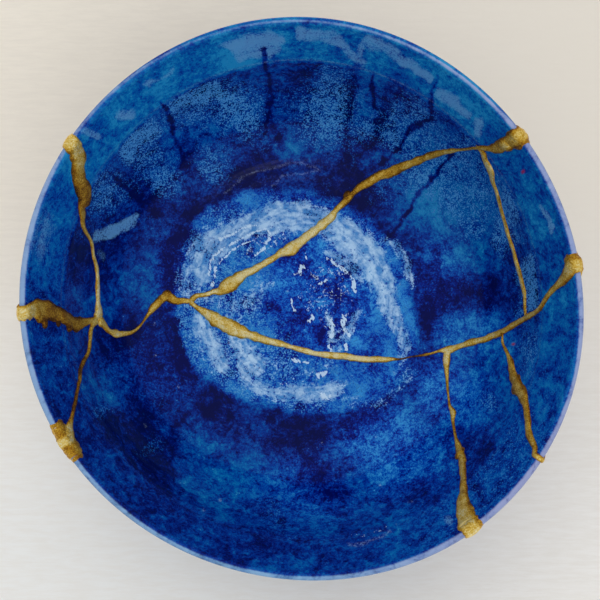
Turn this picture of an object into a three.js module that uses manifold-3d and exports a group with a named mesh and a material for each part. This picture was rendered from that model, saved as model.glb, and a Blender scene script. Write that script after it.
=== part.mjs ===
// A thrown stoneware bowl that broke into eight sherds and was mended with raised gold seams.
// Millimetres, +Z up. The origin is on the bowl's axis, level with the underside of its foot.

import * as THREE from 'three';
import { LoftGeometry } from 'three/addons/geometries/LoftGeometry.js';
import { mergeVertices } from 'three/addons/utils/BufferGeometryUtils.js';
import Module from 'manifold-3d';

const wasm = await Module();
wasm.setup();

// The wall, as ribs that run through it: inside radius and height, outside radius and height.
// They climb from the middle of the floor to the shoulder, where the collar begins.
const ribs = [
  [0, 12.5, 0, 6.2],
  [33, 13.5, 34, 6.2],
  [44, 15.0, 45, 7.6],
  [48.5, 16.2, 51, 9.8],
  [55, 19.6, 58.4, 14.6],
  [62, 26.2, 65.8, 22.8],
  [68, 36.0, 71.6, 34.2],
  [71.5, 47.0, 75.2, 46.0],
];

// The collar is straight, from the shoulder's rib to the rib where the lip's rounding begins.
const lipRib = [77.2, 60.5, 80.0, 60.1];
const lipRise = 1.5;
const lipSteps = 4;

// Where the wall gets a rib when it is turned, counted along the ribs above. A fraction is a place
// between two of them, on a smooth curve.
const ribPlaces = [0, 1, 2, 3, 4, 4.5, 5, 5.5, 6, 7];
const lathePoints = 52;

// The foot ring under the bowl, and the height at which it has run into the wall.
const footOuterRadius = 41.5;
const footInnerRadius = 36.5;
const footChamfer = 0.8;
const footTop = 8.6;

// The bowl dried out of round: a share of its radius for two lobes and for three lobes,
// each with the bearing of its first lobe in degrees. It fades out down to the foot.
const ovalShare = 0.0143;
const ovalBearing = -44;
const triangleShare = 0.0084;
const triangleBearing = -38;
const roundBelow = 7;

// The gold. Its web stands in the crack with the gap on each side. Its beads lie along the crack,
// a little off the flat facets of the glaze, and are never narrower than leastBead. A bead's height
// grows a little with its width, and its crown is a share of its width.
const webThickness = 0.8;
const gap = 0.3;
const insideGap = 0.45;
const outsideGap = 0.65;
const leastBead = 2.4;
const leastRise = 0.54;
const risePerWidth = 0.09;
const mostRise = 0.9;
const crownShare = 0.5;
const stationStep = 9;

// The lumps of gold that wrap the lip: their depth, and how far their middle is below lipRib.
const lumpDepth = 3;
const lumpDrop = 0.6;

// How far the sheets that cut the cracks reach: into the hollow, out through the wall, past the lip.
const sheetAbove = 2.5;
const sheetBelow = 20;
const sheetPastLip = 3;

// Junctions of the seams, in plan on the inside of the bowl.
const left = [-65, -5.5];
const fork = [-38, 0.5];
const upperRight = [53.5, 47];
const lowerRight = [48.5, -16];
const right = [69, -5];
const rightTip = [64, -9.5];

// Each seam is a line in plan with the width of its gold. One that runs out at the rim ends in
// a lump over the lip: its bearing in degrees, its length along the rim and how far it stands out.
const seams = [
  // Upper left, from the left junction up to the rim.
  {
    line: [
      [...left, 4.5], [-65, -2, 3], [-65, 8, 1.8], [-65.5, 17, 1.2], [-66.5, 22.5, 1.5], [-66, 28, 2.5],
      [-64.5, 32, 5.8], [-64.5, 38, 4.9], [-63.5, 43.5, 5],
    ],
    lump: { bearing: 145.7, length: 7, proud: 1.2 },
  },
  // Left, a broad short smear from the rim to the left junction.
  {
    line: [
      [...left, 3.5], [-67.5, -6, 2.5], [-69.5, -6.8, 4.2], [-71, -5.5, 4.6], [-73.5, -3, 5],
      [-75, -2.4, 6.4], [-77, -3.2, 4.5],
    ],
    lump: { bearing: 182.7, length: 5, proud: 1 },
  },
  // Lower left, from the left junction down to the rim.
  {
    line: [
      [...left, 3], [-66.5, -9, 1.6], [-66.5, -14, 1.3], [-67.5, -20, 1.5], [-66.8, -27, 1.2],
      [-66.8, -33, 1.5], [-67, -38, 4],
    ],
    lump: { bearing: 210.7, length: 13, proud: 1 },
  },
  // From the left junction to the fork beside the well.
  {
    line: [
      [...left, 4], [-62.5, -8.7, 1.8], [-60, -10.5, 2.8], [-56.5, -9.8, 1.4], [-53, -6.5, 0.8],
      [-50, -1.7, 2.3], [-45.5, 2.8, 3.3], [-42, 0.8, 2.4], [...fork, 2],
    ],
  },
  // From the fork over the well to the rim at the upper right.
  {
    line: [
      [...fork, 2], [-32, 3.2, 1.4], [-25.5, 5.8, 5.3], [-18.5, 10.7, 2.8], [-9.5, 15.7, 2.1],
      [-4, 18.5, 4.7], [1, 22.2, 3.1], [9.5, 29, 2.9], [15, 35.2, 2.6], [24, 41.3, 3.4], [34, 45.4, 3.1],
      [44.5, 47.9, 2.2], [...upperRight, 1], [57.8, 45.7, 3.2], [61.4, 46.6, 4.4],
    ],
    lump: { bearing: 37.2, length: 7, proud: 1.8 },
  },
  // From the fork under the well to the rim at the right.
  {
    line: [
      [...fork, 2], [-33.5, -2.8, 2.6], [-28.2, -6.1, 5.1], [-21, -10.1, 4.1], [-12, -12.6, 2.5],
      [-3.5, -15, 1.8], [10, -17.7, 2.3], [27, -19.2, 2], [37, -18.2, 0.5], [...lowerRight, 2.6],
      [59, -11.8, 2.2], [...rightTip, 2.1], [...right, 1.9], [71.5, -1.5, 1.5], [74.5, 4.8, 2],
      [76.5, 8.2, 3],
    ],
    lump: { bearing: 7.3, length: 7, proud: 1.2 },
  },
  // Down the right wall, between the two seams before it.
  {
    line: [
      [...upperRight, 1], [57.8, 40.7, 3.2], [60.3, 34.5, 1.7], [64, 24, 1.6], [67, 13, 1.8],
      [68.8, 2.8, 1.6], [...right, 1],
    ],
  },
  // From under the well down to the rim at the lower right.
  {
    line: [
      [...lowerRight, 2.9], [47.8, -21.7, 2], [48.2, -30.6, 0.8], [48.8, -35.5, 2.2], [48.5, -40.7, 0.8],
      [49, -47, 2.9], [47.5, -53.5, 2.1], [45.8, -59, 3.6], [45.8, -61.8, 4.2],
    ],
    lump: { bearing: -53.4, length: 8, proud: 0.6 },
  },
  // From the rim at the right to a hair's breadth at its tip.
  {
    line: [
      [...rightTip, 0.5], [64.2, -16, 1.3], [65, -24.4, 4.2], [65.5, -30.5, 2.4], [64.8, -37.5, 2.6],
      [65, -42, 2],
    ],
    lump: { bearing: -33.6, length: 5, proud: 0.8 },
  },
];

// A point in plan inside each sherd, clear of its cracks, by which the sherd is told from the others.
const sherdMarks = {
  sherd_top: [-10, 55],
  sherd_upper_right: [70, 25],
  sherd_center: [25, 10],
  sherd_right: [72, -16],
  sherd_lower_right: [58, -36],
  sherd_bottom: [-10, -50],
  sherd_lower_left: [-71, -18],
  sherd_upper_left: [-72, 14],
};

const glaze = new THREE.MeshStandardMaterial({ color: 0x123f86, roughness: 0.22, metalness: 0 });
const gold = new THREE.MeshStandardMaterial({ color: 0xc9a24a, roughness: 0.35, metalness: 1 });

// Vertices nearer than this are one vertex.
const weld = 1e-4;

// The wall's ribs, as points on its two faces.
const wall = ribPlaces.map((place) => {
  const [inner, outer] = [0, 2].map((face) => {
    const curve = new THREE.SplineCurve(ribs.map((rib) => new THREE.Vector2(rib[face], rib[face + 1])));
    return curve.getPoint(place / (ribs.length - 1));
  });
  return { inner, outer };
});
wall.push({
  inner: new THREE.Vector2(...lipRib.slice(0, 2)),
  outer: new THREE.Vector2(...lipRib.slice(2)),
});

// The rib that starts at a given radius on the inside. Past the lip it follows the collar's line.
function ribAt(radius) {
  const last = wall.length - 1;
  const above = wall.findIndex((rib) => rib.inner.x > radius);
  const upper = wall[above > 0 ? above : last];
  const lower = wall[above > 0 ? above - 1 : last - 1];
  const share = (radius - lower.inner.x) / (upper.inner.x - lower.inner.x);
  return {
    inner: lower.inner.clone().lerp(upper.inner, share),
    outer: lower.outer.clone().lerp(upper.outer, share),
  };
}

// The outline that the bowl is turned from, up the inside, over the lip and down the outside.
function outline() {
  const inside = wall.slice(0, -1).map((rib) => rib.inner);
  const outside = wall.slice(2, -1).map((rib) => rib.outer).reverse();
  const [innerR, innerZ, outerR, outerZ] = lipRib;
  const lip = new THREE.EllipseCurve(
    (innerR + outerR) / 2, (innerZ + outerZ) / 2, (outerR - innerR) / 2, lipRise, Math.PI, 0, true,
  ).getPoints(lipSteps);
  const recess = ribs[0][3];
  const foot = [
    [footOuterRadius + footChamfer, ribAt(footOuterRadius).outer.y],
    [footOuterRadius, footChamfer],
    [footOuterRadius - footChamfer, 0],
    [footInnerRadius + footChamfer, 0],
    [footInnerRadius, footChamfer],
    [footInnerRadius - footChamfer, recess],
    [0, recess],
  ].map(([r, z]) => new THREE.Vector2(r, z));
  return [...inside, ...lip, ...outside, ...foot];
}

// The outline moved outwards by a small amount all round.
function grown(points, amount) {
  return points.map((point, i) => {
    if (point.x === 0) {
      const rises = i === 0 ? 1 : -1;
      return new THREE.Vector2(0, point.y + rises * amount);
    }
    const before = point.clone().sub(points[i - 1]).normalize();
    const after = points[i + 1].clone().sub(point).normalize();
    const along = before.clone().add(after).normalize();
    const miter = amount / along.dot(after);
    return new THREE.Vector2(point.x - along.y * miter, point.y + along.x * miter);
  });
}

// A closed geometry as a solid, with its doubled vertices merged and its empty faces left out.
function solid(geometry) {
  const bare = new THREE.BufferGeometry().copy(geometry);
  bare.deleteAttribute('normal');
  bare.deleteAttribute('uv');
  const merged = mergeVertices(bare, weld);
  const corners = [];
  for (let i = 0; i < merged.index.count; i += 3) {
    const [a, b, c] = [0, 1, 2].map((k) => merged.index.getX(i + k));
    if (a !== b && b !== c && c !== a) corners.push(a, b, c);
  }
  return new wasm.Manifold(new wasm.Mesh({
    numProp: 3,
    vertProperties: merged.attributes.position.array,
    triVerts: new Uint32Array(corners),
  }));
}

function turned(points) {
  return solid(new THREE.LatheGeometry([...points].reverse(), lathePoints).rotateX(Math.PI / 2));
}

// A station of a seam: a point in plan on the inside of the wall, its partner on the outside and
// the width of the gold there.
function stationAt(x, y, width) {
  const rib = ribAt(Math.hypot(x, y));
  const bearing = Math.atan2(y, x);
  const [inner, outer] = [rib.inner, rib.outer].map(
    (point) => new THREE.Vector3(point.x * Math.cos(bearing), point.x * Math.sin(bearing), point.y),
  );
  return { inner, outer, width };
}

// The stations along a seam. The curve carries the width in place of a height.
function stations(seam) {
  const knots = seam.line.map(([x, y, width]) => new THREE.Vector3(x, y, width));
  const curve = new THREE.CatmullRomCurve3(knots, false, 'centripetal');
  const count = Math.ceil(curve.getLength() / stationStep);
  return curve.getSpacedPoints(count).map(({ x, y, z: width }) => stationAt(x, y, width));
}

// Sweeps a section along a seam. The section's points are given as a distance across the seam
// and a height above the inside of the wall, which is negative through the wall and beyond it.
function swept(line, section) {
  const sections = line.map((station, i) => {
    const ahead = line[Math.min(i + 1, line.length - 1)].inner;
    const behind = line[Math.max(i - 1, 0)].inner;
    const up = station.inner.clone().sub(station.outer).normalize();
    const side = ahead.clone().sub(behind).cross(up).normalize();
    return section(station).map(
      ([across, height]) => station.inner.clone().addScaledVector(side, across).addScaledVector(up, height),
    );
  });
  return solid(new LoftGeometry(sections, { capStart: true, capEnd: true }));
}

// How far below the inside of the wall the outside bead starts.
function outsideLevel({ inner, outer }) {
  return -inner.distanceTo(outer) - outsideGap;
}

// A sheet right through the wall, reaching well past it on both sides and over the lip.
function sheet(seam, thickness) {
  const half = thickness / 2;
  const line = stations(seam);
  if (seam.lump) {
    const bearing = THREE.MathUtils.degToRad(seam.lump.bearing);
    const beyond = lipRib[2] + sheetPastLip;
    line.push(stationAt(beyond * Math.cos(bearing), beyond * Math.sin(bearing), thickness));
  }
  return swept(line, (station) => {
    const levels = [sheetAbove, insideGap, outsideLevel(station), -sheetBelow];
    return [...levels.map((level) => [half, level]), ...levels.reverse().map((level) => [-half, level])];
  });
}

// The gold of one seam: a web through the wall with a low domed bead on each face.
function seamBody(seam) {
  return swept(stations(seam), (station) => {
    const half = Math.max(station.width, leastBead) / 2;
    const crown = half * crownShare;
    const web = webThickness / 2;
    const rise = Math.min(mostRise, leastRise + risePerWidth * station.width);
    const below = outsideLevel(station);
    return [
      [half, insideGap], [web, insideGap], [web, below], [half, below], [crown, below - rise],
      [-crown, below - rise], [-half, below], [-web, below], [-web, insideGap], [-half, insideGap],
      [-crown, insideGap + rise], [crown, insideGap + rise],
    ];
  });
}

// The lump of gold that wraps the lip where a seam runs out.
function rimLump({ bearing, length, proud }) {
  const across = (lipRib[2] - lipRib[0]) / 2 + proud;
  const lump = new THREE.SphereGeometry(1, 8, 6);
  lump.scale(across, length / 2, lumpDepth);
  lump.translate((lipRib[0] + lipRib[2]) / 2, 0, lipRib[1] - lumpDrop);
  lump.rotateZ(THREE.MathUtils.degToRad(bearing));
  return solid(lump);
}

// The foot ring's block from a given height up, made wider by a small amount on both sides.
function footRing(bottom, amount) {
  const outer = footOuterRadius + footChamfer + amount;
  const inner = footInnerRadius - footChamfer - amount;
  const corners = [
    [inner, bottom], [outer, bottom], [outer, footTop], [inner, footTop], [inner, bottom],
  ];
  return turned(corners.map(([r, z]) => new THREE.Vector2(r, z)).reverse());
}

function joined(solids) {
  return solids.reduce((whole, next) => whole.add(next));
}

// The main body of a solid, without the crumbs that a cut can leave.
function largest(whole) {
  return whole.decompose().reduce((best, next) => (next.volume() > best.volume() ? next : best));
}

// How far a point is drawn off the round, as the bowl dried.
function outOfRound(x, y, z) {
  const bearing = THREE.MathUtils.radToDeg(Math.atan2(y, x));
  const lobes = (count, first) => Math.cos(THREE.MathUtils.degToRad(count * (bearing - first)));
  const top = lipRib[1] + lipRise;
  const share = ovalShare * lobes(2, ovalBearing) + triangleShare * lobes(3, triangleBearing);
  return 1 + share * THREE.MathUtils.smoothstep(z, roundBelow, top);
}

function mesh(name, body, material) {
  const { vertProperties, triVerts } = body.getMesh();
  const geometry = new THREE.BufferGeometry();
  const places = new THREE.Float32BufferAttribute(vertProperties, 3);
  for (let i = 0; i < places.count; i += 1) {
    const stretch = outOfRound(places.getX(i), places.getY(i), places.getZ(i));
    places.setX(i, places.getX(i) * stretch);
    places.setY(i, places.getY(i) * stretch);
  }
  geometry.setAttribute('position', places);
  geometry.setIndex(new THREE.Uint32BufferAttribute(triVerts, 1));
  geometry.computeVertexNormals();
  const part = new THREE.Mesh(geometry, material);
  part.name = name;
  return part;
}

// The piece with the vertex that lies nearest to a mark on the inside of the bowl.
function pieceAt([x, y], pieces) {
  const mark = new THREE.Vector3(x, y, ribAt(Math.hypot(x, y)).inner.y);
  const distance = (piece) => {
    const { vertProperties } = piece.getMesh();
    let least = Infinity;
    for (let i = 0; i < vertProperties.length; i += 3) {
      least = Math.min(least, mark.distanceTo(new THREE.Vector3().fromArray(vertProperties, i)));
    }
    return least;
  };
  return pieces.reduce((best, piece) => (distance(piece) < distance(best) ? piece : best));
}

const bowlOutline = outline();
const bowl = turned(bowlOutline);
const cracks = joined(seams.map((seam) => sheet(seam, webThickness + 2 * gap)));
const pieces = bowl.subtract(cracks).decompose();

// Over the lip and through the foot ring the gold keeps to the crack, so what it must clear there
// is the clay on each side of its web.
const webs = joined(seams.map((seam) => sheet(seam, webThickness)));
const lumps = joined(seams.filter((seam) => seam.lump).map((seam) => rimLump(seam.lump)));
const lip = lumps.subtract(turned(grown(bowlOutline, gap)).subtract(webs));
const footWebs = webs.intersect(footRing(gap, 0));
const body = joined(seams.map(seamBody)).subtract(footRing(-gap, gap));
const goldSeams = largest(body.add(footWebs).add(lip));

const group = new THREE.Group();
for (const [name, mark] of Object.entries(sherdMarks)) {
  group.add(mesh(name, pieceAt(mark, pieces), glaze));
}
group.add(mesh('gold_seams', goldSeams, gold));

export default group;
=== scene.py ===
# %% [markdown]
# # A broken bowl, mended with gold
#
# The object is a thrown stoneware bowl with a deep blue glaze. It broke into eight sherds and was
# joined again with gold seams that stand a little proud of the glaze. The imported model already
# holds every piece in its right place. This lesson dresses those pieces: it turns the bowl again at
# a fine scale, cuts it along the same cracks, lays the gold and then builds the two finishes.

import math

import bpy
import numpy as np
from mathutils import Matrix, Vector
from mathutils.kdtree import KDTree


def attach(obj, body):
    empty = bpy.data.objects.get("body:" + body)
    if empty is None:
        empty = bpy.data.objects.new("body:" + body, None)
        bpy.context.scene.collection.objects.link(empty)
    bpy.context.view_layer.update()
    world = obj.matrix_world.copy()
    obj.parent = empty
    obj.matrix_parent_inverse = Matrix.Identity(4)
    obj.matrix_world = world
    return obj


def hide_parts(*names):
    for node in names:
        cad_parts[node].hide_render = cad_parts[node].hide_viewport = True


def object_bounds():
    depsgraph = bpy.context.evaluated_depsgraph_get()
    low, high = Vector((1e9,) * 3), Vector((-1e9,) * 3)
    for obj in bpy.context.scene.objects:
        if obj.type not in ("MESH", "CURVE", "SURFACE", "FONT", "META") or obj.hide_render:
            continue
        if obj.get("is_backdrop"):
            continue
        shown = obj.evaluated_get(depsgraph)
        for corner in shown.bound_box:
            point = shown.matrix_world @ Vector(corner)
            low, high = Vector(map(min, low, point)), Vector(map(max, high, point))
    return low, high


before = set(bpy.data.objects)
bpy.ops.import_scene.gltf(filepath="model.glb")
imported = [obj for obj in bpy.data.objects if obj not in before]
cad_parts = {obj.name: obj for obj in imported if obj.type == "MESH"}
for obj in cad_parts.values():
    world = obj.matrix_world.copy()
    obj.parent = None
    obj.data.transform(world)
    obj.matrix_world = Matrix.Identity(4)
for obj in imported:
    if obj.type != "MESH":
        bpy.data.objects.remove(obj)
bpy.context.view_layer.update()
scene = bpy.context.scene
MM = 0.001
print("pieces in the packed model:", sorted(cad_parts))


def placed(name, data):
    """A new object in the scene for a mesh, a camera or a lamp."""
    thing = bpy.data.objects.new(name, data)
    scene.collection.objects.link(thing)
    return thing


# %% [markdown]
# ## The camera
#
# The photograph looks almost straight down into the bowl from about 30 cm. A small shift of the
# view does what its slight lean did, so that rings at every height fall in the right place. The
# camera comes first, because every later look depends on it.

# %% Camera over the bowl
PHOTO_WIDTH_PX = 600
SHIFT_RIGHT_PX, SHIFT_UP_PX = -2.3, 14.9
LENS_LENGTH, SENSOR_WIDTH = 51, 36
EYE = (0, -4 * MM, 301.3 * MM)

lens_data = bpy.data.cameras.new("camera_over_bowl")
camera = placed("camera_over_bowl", lens_data)
lens_data.sensor_width = SENSOR_WIDTH
lens_data.lens = LENS_LENGTH
lens_data.shift_x = SHIFT_RIGHT_PX / PHOTO_WIDTH_PX
lens_data.shift_y = SHIFT_UP_PX / PHOTO_WIDTH_PX
lens_data.clip_start = 10 * MM
camera.location = EYE
scene.camera = camera
print("camera height in mm:", round(camera.location.z / MM, 1))

# %% [markdown]
# ## A short way to write node trees
#
# Materials and Geometry Nodes are both trees of sockets. One small class wraps a socket, so that
# sums are written as Python sums, and any other node is one call with its settings first and its
# values after. It keeps the recipes below close to how one would say them.

# %% The wire class
class Wire:
    """A socket in a node tree that Python's own signs work on."""

    def __init__(self, tree, socket):
        self.tree = tree
        self.socket = socket

    @classmethod
    def node(cls, tree, kind, settings=None, values=None, out=0):
        made = tree.nodes.new(kind)
        for name, value in (settings or {}).items():
            if name == "stops":
                cls.fill_ramp(made.color_ramp, value)
            else:
                setattr(made, name, value)
        for name, value in (values or {}).items():
            if isinstance(value, Wire):
                tree.links.new(value.socket, made.inputs[name])
            else:
                made.inputs[name].default_value = value
        return cls(tree, made.outputs[out]) if made.outputs else None

    @staticmethod
    def fill_ramp(ramp, stops):
        for place, _ in stops[1:-1]:
            ramp.elements.new(place)
        for element, (place, colour) in zip(ramp.elements, stops):
            element.position = place
            element.color = colour

    def math(self, operation, first, second):
        return Wire.node(self.tree, "ShaderNodeMath", {"operation": operation}, {0: first, 1: second})

    def __add__(self, other):
        return self.math("ADD", self, other)

    def __sub__(self, other):
        return self.math("SUBTRACT", self, other)

    def __rsub__(self, other):
        return self.math("SUBTRACT", other, self)

    def __mul__(self, other):
        return self.math("MULTIPLY", self, other)

    def __truediv__(self, other):
        return self.math("DIVIDE", self, other)

    def __rtruediv__(self, other):
        return self.math("DIVIDE", other, self)

    __radd__ = __add__
    __rmul__ = __mul__

    def call(self, operation):
        return self.math(operation, self, 0.0)

    def smooth(self, low, high):
        """Rises from 0 at low to 1 at high, with soft ends."""
        return Wire.node(self.tree, "ShaderNodeMapRange", {"interpolation_type": "SMOOTHSTEP"}, {
            "Value": self, "From Min": low, "From Max": high,
        })

    def blend(self, first, second):
        """A colour that goes from first to second as this value goes from 0 to 1."""
        sockets = {0: self, 6: first, 7: second}
        return Wire.node(self.tree, "ShaderNodeMix", {"data_type": "RGBA"}, sockets, out=2)

    def ramp(self, *stops):
        """The colour at this value on a ramp of places and colours."""
        return Wire.node(self.tree, "ShaderNodeValToRGB", {"stops": stops}, {"Fac": self})

    def parts(self):
        """The three numbers of a vector."""
        split = Wire.node(self.tree, "ShaderNodeSeparateXYZ", {}, {0: self})
        return [Wire(self.tree, socket) for socket in split.socket.node.outputs]


def vector(tree, x, y, z):
    return Wire.node(tree, "ShaderNodeCombineXYZ", {}, {0: x, 1: y, 2: z})


def noise(tree, place, scale, detail=2.0, roughness=0.5, distortion=0.0):
    """Soft random values round a half, with so many waves to the metre."""
    return Wire.node(tree, "ShaderNodeTexNoise", {}, {
        "Vector": place,
        "Scale": scale,
        "Detail": detail,
        "Roughness": roughness,
        "Distortion": distortion,
    })


# %% What the geometry trees share
def position(tree):
    return Wire.node(tree, "GeometryNodeInputPosition")


def carried(tree, label, kind="FLOAT_VECTOR"):
    """The values that a mesh's points carry under a name."""
    return Wire.node(tree, "GeometryNodeInputNamedAttribute", {"data_type": kind}, {"Name": label})


def sampled(tree, geometry, value, index, kind="FLOAT_VECTOR"):
    """A value on a geometry's points, read at an index."""
    return Wire.node(tree, "GeometryNodeSampleIndex", {"data_type": kind, "domain": "POINT"}, {
        "Geometry": geometry, "Value": value, "Index": index,
    })


def whole(value):
    return Wire.node(value.tree, "FunctionNodeFloatToInt", {}, {0: value})


def flat_grid(tree, columns, rows):
    """A grid, and how far along its columns and its rows each point is, from 0 to 1."""
    grid = Wire.node(tree, "GeometryNodeMeshGrid", {}, {
        "Size X": 1.0, "Size Y": 1.0, "Vertices X": columns, "Vertices Y": rows,
    })
    x, y, _ = position(tree).parts()
    return grid, x + 0.5, y + 0.5


def bent(tree, grid, place):
    """The grid with its points put in their places, and those that meet merged."""
    moved = Wire.node(tree, "GeometryNodeSetPosition", {}, {"Geometry": grid, "Position": place})
    return Wire.node(tree, "GeometryNodeMergeByDistance", {}, {"Geometry": moved, "Distance": 1e-6})


# %% Growing a mesh with Geometry Nodes
def new_tree(name, inputs):
    """An empty Geometry Nodes tree and a wire for each of its named inputs."""
    tree = bpy.data.node_groups.new(name, "GeometryNodeTree")
    tree.interface.new_socket("Geometry", in_out="OUTPUT", socket_type="NodeSocketGeometry")
    for label, kind in {"Geometry": "Geometry", **inputs}.items():
        tree.interface.new_socket(label, in_out="INPUT", socket_type="NodeSocket" + kind)
    entry = tree.nodes.new("NodeGroupInput")
    return tree, {socket.name: Wire(tree, socket) for socket in entry.outputs if socket.name}


def close_tree(tree, geometry, material):
    """Ends a tree with real geometry, smooth shading and its material."""
    smooth = Wire.node(tree, "GeometryNodeSetShadeSmooth", {}, {"Geometry": geometry})
    real = Wire.node(tree, "GeometryNodeRealizeInstances", {}, {"Geometry": smooth})
    done = Wire.node(tree, "GeometryNodeSetMaterial", {}, {"Geometry": real, "Material": material})
    leave = tree.nodes.new("NodeGroupOutput")
    tree.links.new(done.socket, leave.inputs[0])


def settled(thing):
    """The mesh that an object's modifiers make. The object keeps it and loses the modifiers."""
    graph = bpy.context.evaluated_depsgraph_get()
    mesh = bpy.data.meshes.new_from_object(thing.evaluated_get(graph), depsgraph=graph)
    thing.modifiers.clear()
    thing.data = mesh
    return mesh


def grow(name, start, tree, inputs):
    """Runs a tree on a start mesh and returns a plain mesh object with its faces outwards."""
    thing = placed(name, start)
    modifier = thing.modifiers.new("grow", "NODES")
    modifier.node_group = tree
    sockets = {s.name: s.identifier for s in tree.interface.items_tree if s.in_out == "INPUT"}
    for label, value in inputs.items():
        modifier[sockets[label]] = value
    mesh = settled(thing)
    if volume(mesh) < 0:
        mesh.flip_normals()
    print(f"{name}: {len(mesh.polygons)} faces, {volume(mesh) / MM**3 / 1000:.2f} cubic cm")
    return thing


def corners(mesh):
    """The vertices of a mesh as an array."""
    places = np.empty(len(mesh.vertices) * 3)
    mesh.vertices.foreach_get("co", places)
    return places.reshape(-1, 3)


def volume(mesh):
    mesh.calc_loop_triangles()
    index = np.empty(len(mesh.loop_triangles) * 3, int)
    mesh.loop_triangles.foreach_get("vertices", index)
    a, b, c = corners(mesh)[index.reshape(-1, 3)].transpose(1, 0, 2)
    return np.einsum("ij,ij->", a, np.cross(b, c)) / 6


def plain_mesh(name, places, faces=(), **attributes):
    """A mesh from arrays, with a vector or a number on each vertex for every extra name."""
    mesh = bpy.data.meshes.new(name)
    mesh.from_pydata([tuple(p) for p in places], [], list(faces))
    for label, values in attributes.items():
        write_values(mesh, label, values)
    return mesh


def write_values(mesh, label, values):
    values = np.asarray(values, np.float32)
    kind, key = ("FLOAT_VECTOR", "vector") if values.ndim == 2 else ("FLOAT", "value")
    layer = mesh.attributes.new(label, kind, "POINT")
    layer.data.foreach_set(key, values.ravel())


# %% [markdown]
# ## The bowl's outline
#
# A thrown bowl is an outline turned about its axis. The wall is drawn as ribs that join a point
# inside to a point outside, from the middle of the floor up to the shoulder where the collar
# begins. Smooth curves run through them. Everything that follows the wall, such as the cracks and
# the gold, uses the same ribs, so nothing drifts off the surface.

# %% Sums on arrays of points
def soft_step(values, low, high):
    """Rises from 0 at low to 1 at high, with soft ends."""
    t = np.clip((values - low) / (high - low), 0, 1)
    return t * t * (3 - 2 * t)


def mixed(first, second, share):
    """Goes from first to second as the share goes from 0 to 1."""
    return first * (1 - share) + second * share


def band(values, start, end, softness):
    """1 from start to end and 0 beyond, each edge soft by so much to both sides."""
    rise, fall = softness
    begun = soft_step(values, start - rise, start + rise)
    return begun * (1 - soft_step(values, end - fall, end + fall))


def unit(ways):
    """Vectors made one long."""
    return ways / np.linalg.norm(ways, axis=-1, keepdims=True)


def heading(bearing):
    """The way in plan of a bearing in degrees."""
    return np.array((math.cos(math.radians(bearing)), math.sin(math.radians(bearing))))


def travelled(line):
    """How far along a line each of its points is."""
    return np.r_[0, np.cumsum(np.linalg.norm(np.diff(line, axis=0), axis=1))]


# %% Ribs of the wall, in millimetres
# Radius and height inside, radius and height outside.
RIBS = np.array([
    (0, 12.5, 0, 6.2),
    (33, 13.5, 34, 6.2),
    (44, 15.0, 45, 7.6),
    (48.5, 16.2, 51, 9.8),
    (55, 19.6, 58.4, 14.6),
    (62, 26.2, 65.8, 22.8),
    (68, 36.0, 71.6, 34.2),
    (71.5, 47.0, 75.2, 46.0),
])
LIP_RIB = np.array((77.2, 60.5, 79.9, 60.1))
LIP_RISE = 1.5
SHOULDER_HEIGHT = 47.0
FLOOR_EDGE = 48.7
FOOT_OUTER, FOOT_INNER, FOOT_CHAMFER, FOOT_GAP = 41.5, 36.5, 0.8, 0.3


def through_ribs(place):
    """Ribs between the given ones, on a smooth curve, for places counted along them."""
    last = len(RIBS) - 1
    place = np.clip(np.asarray(place, float), 0, last)
    start = np.minimum(np.floor(place).astype(int), last - 1)
    t = (place - start)[:, None]
    before, a, b, after = (RIBS[np.clip(start + step, 0, last)] for step in (-1, 0, 1, 2))
    leave, arrive = (b - before) / 2, (after - a) / 2
    return (
        a
        + leave * t
        + (3 * (b - a) - 2 * leave - arrive) * t**2
        + (2 * (a - b) + leave + arrive) * t**3
    )


PARTS_PER_RIB = 40
last_rib = len(RIBS) - 1
WALL = np.vstack([through_ribs(np.linspace(0, last_rib, PARTS_PER_RIB * last_rib + 1)), LIP_RIB])
print("wall thickness at the lip in mm:", round(LIP_RIB[2] - LIP_RIB[0], 2))


# %% The outline as one closed line
def spaced(line, step):
    """Points along a line, about a step apart, with its ends kept."""
    travel = travelled(line)
    count = max(2, int(round(travel[-1] / step)) + 1)
    at = np.linspace(0, travel[-1], count)
    return np.column_stack([np.interp(at, travel, column) for column in line.T])


def eased(line, reach):
    """The line with its corners rounded over a reach counted in points. Its ends stay."""
    span = np.arange(-3 * reach, 3 * reach + 1)
    weights = np.exp(-0.5 * (span / reach) ** 2)
    weights /= weights.sum()
    pad = len(span) // 2
    first, last = 2 * line[0] - line[pad:0:-1], 2 * line[-1] - line[-2 : -pad - 2 : -1]
    padded = np.vstack([first, line, last])
    return np.column_stack([np.convolve(column, weights, "valid") for column in padded.T])


OUTLINE_STEP = 0.1
half_turn = np.linspace(math.pi, 0, 25)
lip_middle, lip_half = (LIP_RIB[:2] + LIP_RIB[2:]) / 2, (LIP_RIB[2] - LIP_RIB[0]) / 2
lip_line = np.column_stack([
    lip_middle[0] + lip_half * np.cos(half_turn),
    lip_middle[1] + LIP_RISE * np.sin(half_turn),
])
foot_top = np.interp(FOOT_OUTER + FOOT_CHAMFER, WALL[:, 2], WALL[:, 3])
foot_line = np.array([
    (FOOT_OUTER + FOOT_CHAMFER, foot_top),
    (FOOT_OUTER, FOOT_CHAMFER),
    (FOOT_OUTER - FOOT_CHAMFER, 0),
    (FOOT_INNER + FOOT_CHAMFER, 0),
    (FOOT_INNER, FOOT_CHAMFER),
    (FOOT_INNER - FOOT_CHAMFER, RIBS[0, 3]),
    (0, RIBS[0, 3]),
])
beside_foot = WALL[:-1, 2] > FOOT_OUTER + FOOT_CHAMFER + FOOT_GAP
outside_line = WALL[:-1, 2:][beside_foot][::-1]
raw_outline = np.vstack([WALL[:-1, :2], lip_line, outside_line, foot_line])
fine_outline = eased(spaced(raw_outline, OUTLINE_STEP), 3)
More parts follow.
